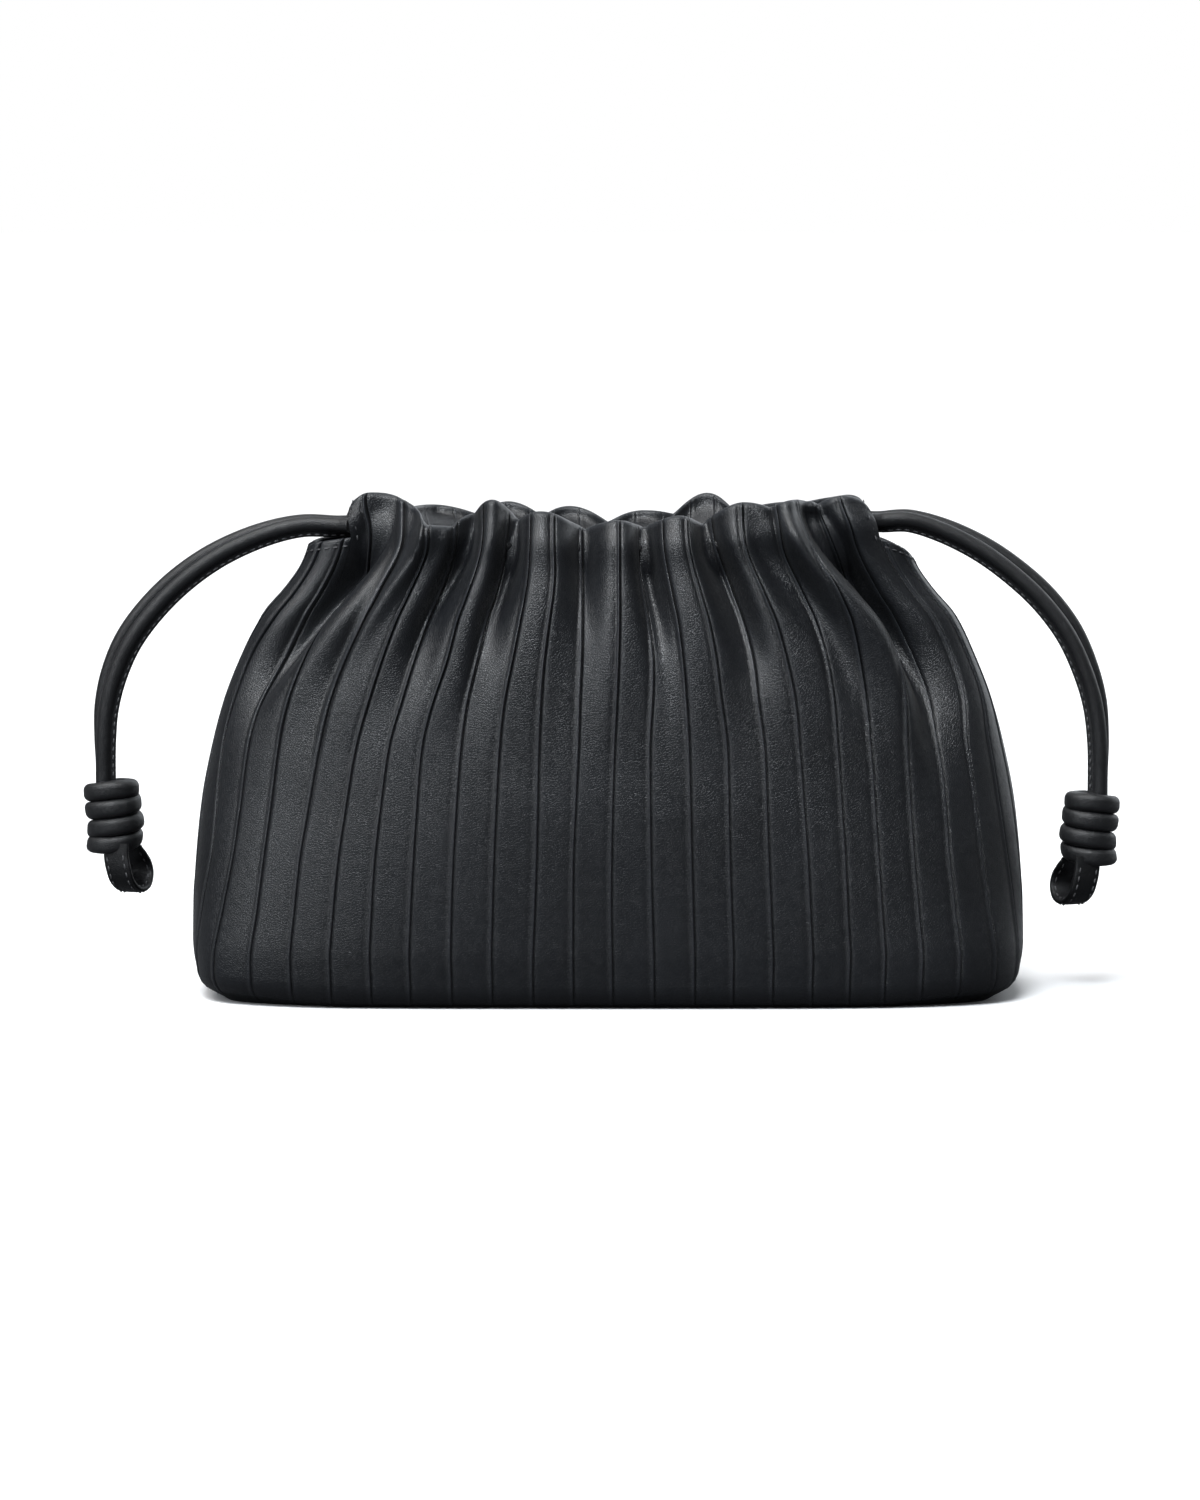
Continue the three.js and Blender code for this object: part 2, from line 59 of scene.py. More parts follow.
# camera: a long lens from the front, a little above the floor
cameraView = {"lookAt": (-2.9, 0, 87.8), "distance": 2200, "azimuth": 0.0, "elevation": 6.0, "lens": 182}


def makeCamera(view):
    turn = math.radians(view["azimuth"])
    rise = math.radians(view["elevation"])
    target = Vector(view["lookAt"]) * mm
    away = Vector((-math.sin(turn) * math.cos(rise), -math.cos(turn) * math.cos(rise), math.sin(rise)))
    data = bpy.data.cameras.new("bagCamera")
    data.sensor_fit = "HORIZONTAL"
    data.sensor_width = 36
    data.lens = view["lens"]
    data.clip_start = 0.05
    data.clip_end = 60
    camera = addObject("bagCamera", data)
    camera.location = target + away * view["distance"] * mm
    camera.rotation_euler = (-away).to_track_quat("-Z", "Y").to_euler()
    bpy.context.scene.camera = camera


makeCamera(cameraView)

# sizes in millimetres, most of them as in part.mjs
bag = {"width": 300, "depth": 106, "rimHeight": 181, "wall": 1.9, "footRadius": 9, "cornerLift": 2.4,
       "gap": 0.3, "pleats": 26}
mouth = {"gatherDepth": 10, "gatherFall": 100, "casingHeight": 15, "casingDepth": 10.6, "lip": 1.6,
         "play": 0.7, "cordDrop": 2.3, "cordGive": 1.7, "sag": 9, "riseHeight": 8, "hemDrop": 15,
         "hemFall": (4, 10.5), "hemDepth": 2.8, "start": 3.3, "end": 22.8, "edge": 4.2, "sink": 5,
         "pull": (0.16, 0.98)}

# height and width, depth as shares, and the outline's exponent
outline = np.array([
    (0.05, 0.992, 0.985, 4.4), (0.11, 1, 1, 4), (0.21, 1, 1, 3.3), (0.38, 0.983, 0.98, 2.6),
    (0.49, 0.958, 0.94, 2.45), (0.59, 0.925, 0.885, 2.3), (0.68, 0.878, 0.815, 2.15),
    (0.76, 0.827, 0.73, 2.1), (0.81, 0.772, 0.665, 2.1), (0.86, 0.728, 0.59, 2.15),
    (0.92, 0.704, 0.515, 2.2), (1.04, 0.69, 0.45, 2.2)])

# gathers, left to right: pleat at the rim, its place across the mouth, reach, rise and lean
frontGathers = np.array([
    (0, -1, 0, 0, 0), (1.6, -0.985, 0.25, 0, 0), (3.3, -0.9, 0, 0.2, 0), (4.6, -0.79, 0.2, 0.5, -0.3),
    (5.3, -0.66, 0, 0.05, -1.6), (5.9, -0.612, 0.8, -0.45, -1.6), (6.8, -0.535, 0.9, -0.45, -1),
    (7.5, -0.47, 0.05, 0.1, -0.5), (8.4, -0.39, 1, 0.9, -0.3), (9.3, -0.315, 0, -0.05, -0.2),
    (10.5, -0.225, 0.9, 0.5, -0.1), (12.1, -0.08, 0, -0.35, 0), (12.9, 0.03, 0.8, 0.15, 0),
    (14.3, 0.127, 0, -0.3, 0.1), (15.6, 0.24, 0.9, 0.3, 0.1), (16.7, 0.328, 0, -0.25, 0.2),
    (18, 0.455, 0.9, 0.7, 0.4), (18.8, 0.55, 0.15, 0.35, 0.8), (19.6, 0.61, 1, 0.6, 1.2),
    (20.5, 0.69, 0.85, 0.35, 1.6), (21.1, 0.735, 0, 0.1, 1.6), (22, 0.8, 0.2, 0.4, 0.3),
    (22.8, 0.9, 0, 0.2, 0), (24.4, 0.985, 0.25, 0, 0), (26, 1, 0, 0, 0)])
backGathers = np.array([
    (0, -1, 0, 0, 0), (1.6, -0.985, 0.25, 0, 0), (3.3, -0.9, 0, 0.2, 0), (4.5, -0.78, 0.3, 0.15, -0.3),
    (5.4, -0.7, 0, 0.1, -1.4), (6.6, -0.57, 1, 0.1, -1.2), (7.9, -0.45, 0, -0.1, -0.6),
    (9.4, -0.34, 0.9, 0.8, -0.3), (10.6, -0.23, 0, 0, -0.1), (11.7, -0.12, 0.9, 0.1, 0),
    (13, 0, 0, -0.3, 0), (14.3, 0.13, 0.85, 0.3, 0.1), (15.5, 0.23, 0, -0.1, 0.2),
    (16.8, 0.34, 1, 0.4, 0.3), (18.1, 0.45, 0.05, -0.2, 0.6), (19.4, 0.57, 0.9, 0, 1),
    (20.6, 0.69, 0, -0.1, 1.4), (21.7, 0.785, 0.25, 0.1, 0.3), (22.8, 0.9, 0, 0.2, 0),
    (24.4, 0.985, 0.25, 0, 0), (26, 1, 0, 0, 0)])

# one pressed pleat, dark step to dark step: share across it, height in mm, painted shade in the crease, and
# the paler edge, partly wear and partly painted highlight
pleatProfile = np.array([
    (0, -0.85, 1, 0), (0.018, -0.7, 0.85, 0), (0.036, -0.3, 0.4, 0), (0.062, 0, 0.1, 0.1),
    (0.1, 0.14, 0, 0.3), (0.15, 0.18, 0, 0.15), (0.24, 0.18, 0, 0), (0.36, 0.16, 0, 0),
    (0.49, 0.16, 0, 0), (0.61, 0.15, 0, 0), (0.71, 0.1, 0.05, 0), (0.77, 0, 0.2, 0),
    (0.815, -0.16, 0.45, 0), (0.85, -0.2, 0.5, 0), (0.885, -0.06, 0.25, 0), (0.915, 0.22, 0, 0.3),
    (0.94, 0.46, 0, 0.8), (0.958, 0.52, 0, 1), (0.976, 0.36, 0.1, 0.6), (0.99, -0.3, 0.7, 0)])

# deeper folds than the solids hold: pleat at the rim, lean and bend in pleats for 100 mm down, width in
# pleats, reach in mm, and the drops below the rim, as shares of 100 mm, where they are fullest and end
frontFolds = [
    (6.1, -3.9, 1.4, 0.55, 7, 0.1, 1), (4.75, -2.6, 0.3, 0.6, -18, 0.18, 0.9),
    (7.5, -1.2, 0, 0.42, -9, 0.22, 0.65), (9.3, -0.4, 0, 0.4, -10, 0.2, 0.62),
    (12.05, 0, 0, 0.34, -8, 0.16, 0.52), (14.25, 0.1, 0, 0.38, -10, 0.2, 0.62),
    (16.75, 0.5, 0, 0.42, -10, 0.22, 0.72), (18.1, 1.4, 0, 0.34, -5, 0.25, 0.6),
    (18.75, 4.6, -2, 0.6, 7, 0.12, 1.1), (20.25, 2.9, -1.3, 0.72, -23, 0.16, 1.1)]
backFolds = [
    (5.4, -2.4, 0, 0.5, -10, 0.25, 0.85), (6.5, -2, 0, 0.5, 4, 0.15, 0.8),
    (7.9, -1, 0, 0.4, -7, 0.25, 0.7), (10.6, -0.3, 0, 0.36, -6, 0.22, 0.6),
    (13, 0, 0, 0.4, -7, 0.2, 0.6), (15.5, 0.3, 0, 0.36, -6, 0.22, 0.6),
    (18.1, 0.9, 0, 0.4, -7, 0.25, 0.7), (19.4, 1.8, 0, 0.5, 4, 0.15, 0.8),
    (20.6, 2.2, 0, 0.5, -11, 0.25, 0.85)]

# how far each pleat's line swings to the right as it climbs, in thousandths of the outline
shiftHeights = np.array([11, 54, 96, 110, 124, 138, 152, 166])
lineShift = np.array([
    (0, 0, 0, 0, 0, 0, 0, 0), (-4, 3, -4, -3, -6, 6, 3, 6), (-8, 5, -8, -6, -8, 11, 6, 11),
    (-11, -2, 1, 0, 5, 14, 8, 14), (-5, -4, 3, 8, 12, 17, 10, 20), (-2, -5, 3, 5, 8, 17, 12, 20),
    (-1, -4, -1, 4, 5, 9, 4, 14), (0, -5, -4, 2, 2, 4, 0, 8), (0, -4, -8, -3, 4, 5, 3, 8),
    (2, -2, -4, -4, -1, 0, -1, 0), (3, 1, 1, 2, 6, 10, 7, 3), (4, 6, 6, 6, 6, 9, 9, 2),
    (5, 4, 9, 9, 10, 9, 4, 1), (5, 3, 0, 0, 0, 0, 0, 0), (7, 5, 3, 7, 10, 7, 0, -2),
    (8, 8, 8, 7, 7, 5, 3, -3), (7, 8, 11, 7, 8, 5, 3, -5), (7, 9, 13, 11, 17, 15, 16, 0),
    (7, 10, 9, 11, 10, 7, 7, -5), (5, 9, 7, 9, 13, 12, 15, -1), (1, 5, 7, 10, 14, 14, 19, 3),
    (0, 4, 9, 16, 24, 30, 36, 14), (0, 4, 15, 27, 32, 24, 27, 12), (2, 3, 2, 17, 22, 17, 20, 9),
    (2, 1, 0, 11, 14, 10, 13, 6), (1, 1, 0, 5, 7, 5, 7, 3), (0, 0, 0, 0, 0, 0, 0, 0)]) * 0.001


def stepUp(low, high, value):
    t = np.clip((value - low) / (high - low), 0, 1)
    return t * t * (3 - 2 * t)


def findRow(keys, value):
    v = np.clip(value, keys[0], keys[-1])
    i = np.clip(np.searchsorted(keys, v, side="left") - 1, 0, len(keys) - 2)
    return i, (v - keys[i]) / (keys[i + 1] - keys[i])


def smoothRead(keys, values, value):
    # a curve through the rows that never overshoots them
    i, t = findRow(keys, value)
    span = keys[i + 1] - keys[i]
    slope = (values[i + 1] - values[i]) / span
    before = np.maximum(i - 1, 0)
    after = np.minimum(i + 2, len(keys) - 1)

    def tangent(a, b):
        rise = (values[b] - values[a]) / (keys[b] - keys[a])
        kept = np.sign(slope) * np.minimum(np.abs(rise), 3 * np.abs(slope))
        return np.where(np.sign(rise) == np.sign(slope), kept, 0)

    m0 = tangent(before, i + 1) * span
    m1 = tangent(i, after) * span
    t2, t3 = t * t, t * t * t
    return ((2 * t3 - 3 * t2 + 1) * values[i] + (t3 - 2 * t2 + t) * m0
            + (3 * t2 - 2 * t3) * values[i + 1] + (t3 - t2) * m1)


def waveRead(keys, values, value):
    i, t = findRow(keys, value)
    ease = (1 - np.cos(np.pi * t)) / 2
    return values[i] + (values[i + 1] - values[i]) * ease


def foldRead(keys, values, value, pinch=1.0):
    # like waveRead, but with round crests and narrow valleys, which pinch 1 draws to a point
    i, t = findRow(keys, value)
    low, high = values[i], values[i + 1]
    up = np.where(high >= low, t, 1 - t)
    ease = (1 - np.cos(np.pi * up)) / 2
    soft = 1 - (1 - ease) ** 1.7
    shaped = soft + (np.sin(np.pi / 2 * up) - soft) * pinch
    return np.minimum(low, high) + np.abs(high - low) * shaped


def levelCurve(height):
    share = height / bag["rimHeight"]
    wide, deep, square = [smoothRead(outline[:, 0], outline[:, k], share) for k in (1, 2, 3)]
    a, b = wide * bag["width"] / 2, deep * bag["depth"] / 2
    angle = np.linspace(-np.pi, 0, 721)
    c, s = np.cos(angle), np.sin(angle)
    x = a * np.sign(c) * np.abs(c) ** (2 / square)
    y = -b * np.abs(s) ** (2 / square)
    x[0], x[-1], y[0], y[-1] = -a, a, 0, 0
    length = np.concatenate(([0], np.cumsum(np.hypot(np.diff(x), np.diff(y)))))
    return x, y, length / length[-1]


levelHeights = np.linspace(0, 1.1 * bag["rimHeight"], 200)
levelShares = np.linspace(0, 1, 1201)
levelX = np.empty((len(levelHeights), len(levelShares)))
levelY = np.empty_like(levelX)
for row, levelHeight in enumerate(levelHeights):
    curveX, curveY, curveShare = levelCurve(levelHeight)
    levelX[row] = np.interp(levelShares, curveShare, curveX)
    levelY[row] = np.interp(levelShares, curveShare, curveY)
rimX, _, rimShare = levelCurve(bag["rimHeight"])


def betweenCells(table, row, column):
    # a table's value between its rows and columns
    i = np.minimum(row.astype(int), table.shape[0] - 2)
    j = np.minimum(column.astype(int), table.shape[1] - 2)
    u, v = row - i, column - j
    low = table[i, j] * (1 - v) + table[i, j + 1] * v
    high = table[i + 1, j] * (1 - v) + table[i + 1, j + 1] * v
    return low * (1 - u) + high * u


def onLevel(height, share):
    row = np.clip(height / levelHeights[-1], 0, 1) * (len(levelHeights) - 1)
    column = np.clip(share, 0, 1) * (len(levelShares) - 1)
    return betweenCells(levelX, row, column), betweenCells(levelY, row, column)


shiftSmooth = {"topHeight": 200, "reach": 15, "width": 6.5, "runOut": (166, 179)}


def softShift():
    # the table above with a column for each millimetre of height, smoothed and run out at the rim
    heights = np.arange(shiftSmooth["topHeight"] + 1)
    table = np.array([np.interp(heights, shiftHeights, line) for line in lineShift])
    table *= 1 - stepUp(*shiftSmooth["runOut"], heights)
    reach = shiftSmooth["reach"]
    kernel = np.exp(-(np.arange(-reach, reach + 1) / shiftSmooth["width"]) ** 2)
    kernel /= kernel.sum()
    padded = np.pad(table, ((0, 0), (reach, reach)), mode="edge")
    return np.array([np.convolve(line, kernel, "valid") for line in padded])


shiftTable = softShift()


def shiftAt(pleat, height):
    k = np.clip(pleat, 0, bag["pleats"] - 1e-6)
    return betweenCells(shiftTable, k, np.clip(height, 0, shiftSmooth["topHeight"] - 0.1))


def place(rows, pleat, height, step=0.004):
    # where a pleat's line stands on the outline at a height, and the outward direction there
    at = smoothRead(rows[:, 0], rows[:, 1], pleat)
    atRim = np.interp(at * rimX[-1], rimX, rimShare)
    low, high = mouth["pull"]
    pull = stepUp(low * bag["rimHeight"], high * bag["rimHeight"], height)
    share = pleat / bag["pleats"] * (1 - pull) + atRim * pull
    if rows is frontGathers:
        share = share + shiftAt(pleat + 0 * height, height + 0 * pleat)
    x, y = onLevel(height, share)
    x0, y0 = onLevel(height, share - step)
    x1, y1 = onLevel(height, share + step)
    nx, ny = y1 - y0, x0 - x1
    seam = (pleat <= 0) | (pleat >= bag["pleats"])
    nx = np.where(seam, np.sign(x), nx)
    ny = np.where(seam, 0, ny)
    size = np.hypot(nx, ny)
    return x, y, nx / size, ny / size


foldForm = {"bigReach": -14, "steepSide": 1.7, "easySide": 0.85, "ridgeStart": 0.55, "valleyStart": 0.3,
            "pinchRun": (0.05, 0.45), "bodySink": 18, "sinkRun": (24, 3), "firmness": 1.6}


def fold(rows, pleat, height):
    # how far the leather stands out from the outline, or in from it where that is negative
    drop = np.maximum(bag["rimHeight"] - height, 0) / mouth["gatherFall"]
    lean = waveRead(rows[:, 0], rows[:, 4], pleat) * np.minimum(drop, 1)
    pinch = 1 - stepUp(*foldForm["pinchRun"], drop)
    gathers = foldRead(rows[:, 0], rows[:, 2], pleat - lean, pinch)
    out = gathers * mouth["gatherDepth"] * (1 - stepUp(0, 1, drop))
    for at, slant, bend, width, reach, full, end in (frontFolds if rows is frontGathers else backFolds):
        off = pleat - at - slant * drop - bend * drop * drop
        if reach < foldForm["bigReach"]:
            # the big valleys fall off steeply on the side of the middle
            inner = off * (bag["pleats"] / 2 - at) > 0
            off = off * np.where(inner, foldForm["steepSide"], foldForm["easySide"])
        near = np.exp(-(off / width) ** 2)
        start = foldForm["ridgeStart"] if reach > 0 else foldForm["valleyStart"]
        grown = start + (1 - start) * stepUp(0, full, drop)
        out = out + reach * near * grown * (1 - stepUp(full, end, drop))
    # the casing sinks only a little between its gathers, because it holds the cord
    bottom = casingMiddle(rows, pleat) - mouth["casingHeight"] / 2
    below, above = foldForm["sinkRun"]
    deepest = -mouth["sink"] - foldForm["bodySink"] * (1 - stepUp(bottom - below, bottom + above, height))
    firm = foldForm["firmness"]
    return deepest + np.logaddexp(0, (out - deepest) * firm) / firm


def casingMiddle(rows, pleat):
    at = smoothRead(rows[:, 0], rows[:, 1], pleat)
    return bag["rimHeight"] - mouth["casingHeight"] / 2 - mouth["sag"] * (1 - at * at)


def cordSink(rows, pleat):
    # how far the cord and the casing's back give way where the front wall sinks in
    front = fold(rows, pleat, casingMiddle(rows, pleat) - mouth["cordDrop"])
    return np.minimum(front + mouth["cordGive"], 0)


def standing(spot, out, height):
    x, y, nx, ny = spot
    return np.stack((x + nx * out, np.minimum(y + ny * out, 0), height + 0 * x), axis=-1)


def surfacePoint(rows, pleat, height, extra):
    return standing(place(rows, pleat, height), fold(rows, pleat, height) + extra, height)


seamGroove = {"fade": 0.1, "depth": 0.9, "width": 0.12, "creaseWidth": 0.04}


def panelColumns():
    # the places of all columns, and their height, painted crease shade, and paler edge that is partly wear
    # and partly painted highlight
    pleats = bag["pleats"]
    pleat = np.append((np.arange(pleats)[:, None] + pleatProfile[:, 0]).reshape(-1), pleats)
    profile = np.concatenate((np.tile(pleatProfile[:, 1:], (pleats, 1)), pleatProfile[:1, 1:]))
    for end in (mouth["start"], mouth["end"]):
        at = np.searchsorted(pleat, end)
        values = [np.interp(end, pleat, profile[:, k]) for k in range(3)]
        pleat = np.insert(pleat, at, (end, end))
        profile = np.insert(profile, at, (values, values), axis=0)
    # the side seam lies in a soft groove of its own, darkened with painted shade
    fromSeam = np.minimum(pleat, pleats - pleat)
    profile[:, 0] *= np.clip(fromSeam / seamGroove["fade"], 0, 1)
    profile[:, 0] -= seamGroove["depth"] * np.exp(-(fromSeam / seamGroove["width"]) ** 2)
    profile[:, 1] = np.maximum(profile[:, 1], np.exp(-(fromSeam / seamGroove["creaseWidth"]) ** 2))
    return pleat, profile


# how flat the pleats are pressed at the foot and how much less so higher up, and the rows of points
panelForm = {"footPress": 0.55, "risePress": 0.75, "pressRun": (70, 160), "upperPress": 1.3,
             "innerPress": 0.25, "liftRun": (0.62, 0.92), "bodyLow": 12.5, "bodyTop": 150,
             "outerRows": 51, "innerRows": 26, "turnUnder": ((-13, 0, 0), (-11, 0, 0), (-9, 0.5, 0.3)),
             "innerTurn": ((-1.9, 9.5), (-3.4, 5.5), (-7, 2.8), (-13, 1.9))}


def panelGrid(rows):
    # rows run up the outside, over the rim and down inside it, back up the casing and down the inner wall
    pleat, profile = panelColumns()
    relief, creaseShade, wearAndHighlight = profile.T
    n = len(pleat)
    first, last = np.flatnonzero(pleat == mouth["start"])[1], np.flatnonzero(pleat == mouth["end"])[0]
    column = np.arange(n)
    hem = (column < first) | (column > last)
    top, flapEnd, middle = upperHeights(rows, pleat, hem)
    radius, wall = bag["footRadius"], bag["wall"]
    foot = place(rows, pleat, np.full(n, float(radius)))
    lift = bag["cornerLift"] * stepUp(*panelForm["liftRun"], np.abs(foot[0]) / (bag["width"] / 2))
    low, base = panelForm["bodyLow"], panelForm["bodyTop"]
    points, creases, edges = [], [], []

    def pressed(height):
        risen = panelForm["risePress"] * stepUp(*panelForm["pressRun"], height)
        return relief * (panelForm["footPress"] + risen)

    # the share scales both painted marks, the crease shade and the paler edge of wear and painted
    # highlight; edge adds to the paler edge
    def put(point, creaseShadeShare=1.0, edge=0.0):
        points.append(point)
        creases.append(creaseShade * creaseShadeShare)
        edges.append(np.clip(wearAndHighlight * creaseShadeShare + edge, 0, 1))

    for out, rise, share in panelForm["turnUnder"]:
        put(standing(foot, out, lift * rise), share)
    for angle in np.radians((20, 40, 58, 75, 90)):
        out = relief * panelForm["footPress"] * math.sin(angle) - radius * (1 - math.sin(angle))
        put(standing(foot, out, radius * (1 - math.cos(angle)) + lift), 0.5)
    for share in np.linspace(0, 1, panelForm["outerRows"] + 1)[:-1]:
        height = low + lift * (1 - share) + (base - low) * share
        # the painted crease shade and the painted highlight on the edges grow stronger higher up
        strength = float(0.5 + 0.5 * stepUp(60, 150, np.mean(height)))
        out = fold(rows, pleat, height) + pressed(height)
        put(standing(place(rows, pleat, height), out, height), strength)
    upper = upperPaths(rows, pleat, hem, relief * panelForm["upperPress"], top, flapEnd, middle)
    lowRow = len(points)
    for outer, _, share, rim in upper:
        put(outer, share, rim)
    for _, inner, _, _ in reversed(upper):
        put(inner, 0.6)
    for share in np.linspace(0, 1, panelForm["innerRows"] + 1)[1:]:
        height = base + (low + lift - base) * share
        inside = fold(rows, pleat, height) - wall + relief * panelForm["innerPress"]
        put(standing(place(rows, pleat, height), inside, height), 0.6)
    for out, height in panelForm["innerTurn"]:
        put(standing(foot, out, height + lift * (height > 5)), 0.3)
    return np.array(points), np.array(creases), np.array(edges), lowRow, len(upper), first, last


def hemLine(rows, pleat):
    # the hem outside the sleeves slopes down to the side seam, more on the bag's right
    left, right = mouth["hemFall"] if rows is frontGathers else mouth["hemFall"][::-1]
    fall = np.where(pleat < bag["pleats"] / 2, left, right)
    near = np.clip(1 - np.minimum(pleat, bag["pleats"] - pleat) / mouth["start"], 0, 1)
    return bag["rimHeight"] - mouth["hemDrop"] - fall * near


# the sleeve round the cord: how it leans and bulges, how its edge rolls over, and its rounded corners
sleeve = {"lean": 3.2, "leanRise": 2, "followRun": (0.3, 1.6), "bulge": 1.1, "bulgeDrop": 1,
          "bulgeHeight": 5, "roll": 2, "hemRoll": 1.2, "hemWall": 1.3, "pleatWidth": 9, "cornerReach": 7,
          "cornerDrop": 5.5, "hemFlap": 12, "hemFlapLow": 151}


def upperHeights(rows, pleat, hem):
    middle = casingMiddle(rows, pleat)
    rise = foldRead(rows[:, 0], rows[:, 3], pleat) * mouth["riseHeight"]
    hemTop = hemLine(rows, pleat)
    top = np.where(hem, hemTop, middle + mouth["casingHeight"] / 2 + rise)
    # the sleeve's corners are rounded
    past = np.minimum(pleat - mouth["start"], mouth["end"] - pleat) * sleeve["pleatWidth"]
    corner = np.clip(1 - past / sleeve["cornerReach"], 0, 1)
    top = np.where(hem, top, top - sleeve["cornerDrop"] * (1 - np.sqrt(1 - corner * corner * 0.98)))
    hemFlap = np.maximum(hemTop - sleeve["hemFlap"], sleeve["hemFlapLow"])
    return top, np.where(hem, hemFlap, middle - mouth["casingHeight"] / 2), middle


def upperPaths(rows, pleat, hem, relief, top, flapEnd, middle):
    # each row is the outer and the inner line, the share of the painted crease shade, and how pale the rim
    # is there, partly from wear and partly painted highlight
    base, wall = panelForm["bodyTop"], bag["wall"]
    sink = cordSink(rows, pleat)

    def leanAt(height):
        # the sleeve rounds over towards the mouth above its cord
        return np.where(hem, 0, sleeve["lean"] * stepUp(middle, top + sleeve["leanRise"], height))

    def flapAt(height):
        below, short = sleeve["followRun"]
        follow = stepUp(middle - below, top - short, height)
        out = fold(rows, pleat, height) - leanAt(height)
        back = (sink - mouth["casingDepth"]) * (1 - follow) + (out - mouth["edge"]) * follow
        return np.where(hem, out - mouth["hemDepth"], back)

    def outerAt(height):
        off = (height - middle + sleeve["bulgeDrop"]) / sleeve["bulgeHeight"]
        bulge = sleeve["bulge"] * np.exp(-off ** 2)
        return fold(rows, pleat, height) - leanAt(height) + np.where(hem, 0, bulge) + relief

    found = []

    def put(height, out, inside, share, rim=0.0, low=None):
        spot = place(rows, pleat, height)
        inner = standing(spot, inside, height if low is None else low)
        found.append((standing(spot, out, height), inner, share, rim))

    roll = np.where(hem, sleeve["hemRoll"], sleeve["roll"])
    thin = np.where(hem, sleeve["hemWall"], wall)
    shoulder = top - roll
    for t in np.linspace(0, 1, 15):
        height = base + (shoulder - base) * t
        out = outerAt(height)
        put(height, out, out - relief * 0.7 - wall + (wall - thin) * stepUp(0, 0.3, t), 1.0)
    outside, flap = outerAt(shoulder), flapAt(shoulder)
    centre, reach = (outside + flap) / 2, (outside - flap) / 2
    tight = np.maximum(reach - thin, 0.12)
    # over the rolled edge the rim top turns paler, partly wear and partly painted highlight
    for t in np.linspace(0, 1, 9)[1:-1]:
        rise, across = math.sin(np.pi * t), math.cos(np.pi * t)
        low = shoulder + np.maximum(roll - thin, 0.1) * rise
        put(shoulder + roll * rise, centre + reach * across, centre + tight * across, 0.7, rise, low)
    for t in np.linspace(0, 1, 11):
        height = shoulder + (flapEnd - shoulder) * t
        back = flapAt(height) + relief * 0.3
        put(height, back, back + thin, 0.6)
    return found


def buildPanel(name, rows, turn):
    points, creases, edges, low, upper, first, last = panelGrid(rows)
    count, n = points.shape[:2]
    index = np.arange(count * n).reshape(count, n)
    split = (first - 1, last)
    faces = []
    for j in range(n - 1):
        jump = j in split
        for i in range(count):
            k = (i + 1) % count
            if jump and low <= i < low + 2 * upper and k <= low + 2 * upper - 1:
                continue
            faces.append((index[i, j], index[k, j], index[k, j + 1], index[i, j + 1]))
    for j in split:
        for side in (j, j + 1):
            for i in range(upper - 1):
                a, b = low + i, low + i + 1
                c, d = low + 2 * upper - 2 - i, low + 2 * upper - 1 - i
                quad = (index[a, side], index[b, side], index[c, side], index[d, side])
                faces.append(quad if side == j else quad[::-1])
    for side in (0, n - 1):
        ring = [Vector((p[0], p[2], 0)) for p in points[:, side]]
        for a, b, c in tessellate_polygon([ring]):
            faces.append((index[a, side], index[b, side], index[c, side]))
    flat = points.reshape(-1, 3) * (halfTurn if turn else 1)
    mesh = meshFrom(name, flat, [tuple(int(v) for v in face) for face in faces])
    # each point keeps its painted crease shade and its paler edge, partly wear and partly painted highlight
    for label, values in (("creaseShade", creases), ("wearAndHighlight", edges)):
        layer = mesh.attributes.new(label, "FLOAT", "POINT")
        layer.data.foreach_set("value", values.reshape(-1).astype(np.float32))
    finishMesh(mesh, merge=0.00001)
    return addPiece(name, mesh, panelLeather)


def finishMesh(mesh, merge=0.0, angle=62):
    bm = bmesh.new()
    bm.from_mesh(mesh)
    if merge:
        bmesh.ops.remove_doubles(bm, verts=bm.verts, dist=merge)
        bmesh.ops.dissolve_degenerate(bm, edges=bm.edges, dist=1e-7)
    bmesh.ops.recalc_face_normals(bm, faces=bm.faces)
    bm.to_mesh(mesh)
    bm.free()
    mesh.shade_smooth()
    mesh.set_sharp_from_angle(angle=math.radians(angle))


def addPiece(name, mesh, finish):
    piece = addObject(name, mesh)
    mesh.materials.clear()
    mesh.materials.append(finish)
    return piece


# finishes
def setInputs(tree, node, values):
    # by name or number, each input gets a link from another node's output or a plain value
    for key, value in values.items():
        if isinstance(value, bpy.types.NodeSocket):
            tree.links.new(value, node.inputs[key])
        else:
            node.inputs[key].default_value = value


def addNode(tree, kind, values=None, **settings):
    node = tree.nodes.new(kind)
    for key, value in settings.items():
        setattr(node, key, value)
    setInputs(tree, node, values or {})
    return node


def mathNode(tree, operation, *values, kind="ShaderNodeMath"):
    return addNode(tree, kind, dict(enumerate(values)), operation=operation).outputs[0]


def startMaterial(name):
    material = bpy.data.materials.new(name)
    material.use_nodes = True
    return material, material.node_tree, material.node_tree.nodes["Principled BSDF"]


def rampBetween(tree, source, low, high):
    ramp = addNode(tree, "ShaderNodeValToRGB", {"Fac": source})
    for element, at, color in zip(ramp.color_ramp.elements, (0.3, 0.7), (low, high)):
        element.position = at
        element.color = (*color, 1)
    return ramp.outputs["Color"]


def mapRange(tree, source, low, high, fromLow=0.0, fromHigh=1.0):
    values = {"Value": source, "From Min": fromLow, "From Max": fromHigh, "To Min": low, "To Max": high}
    return addNode(tree, "ShaderNodeMapRange", values).outputs["Result"]


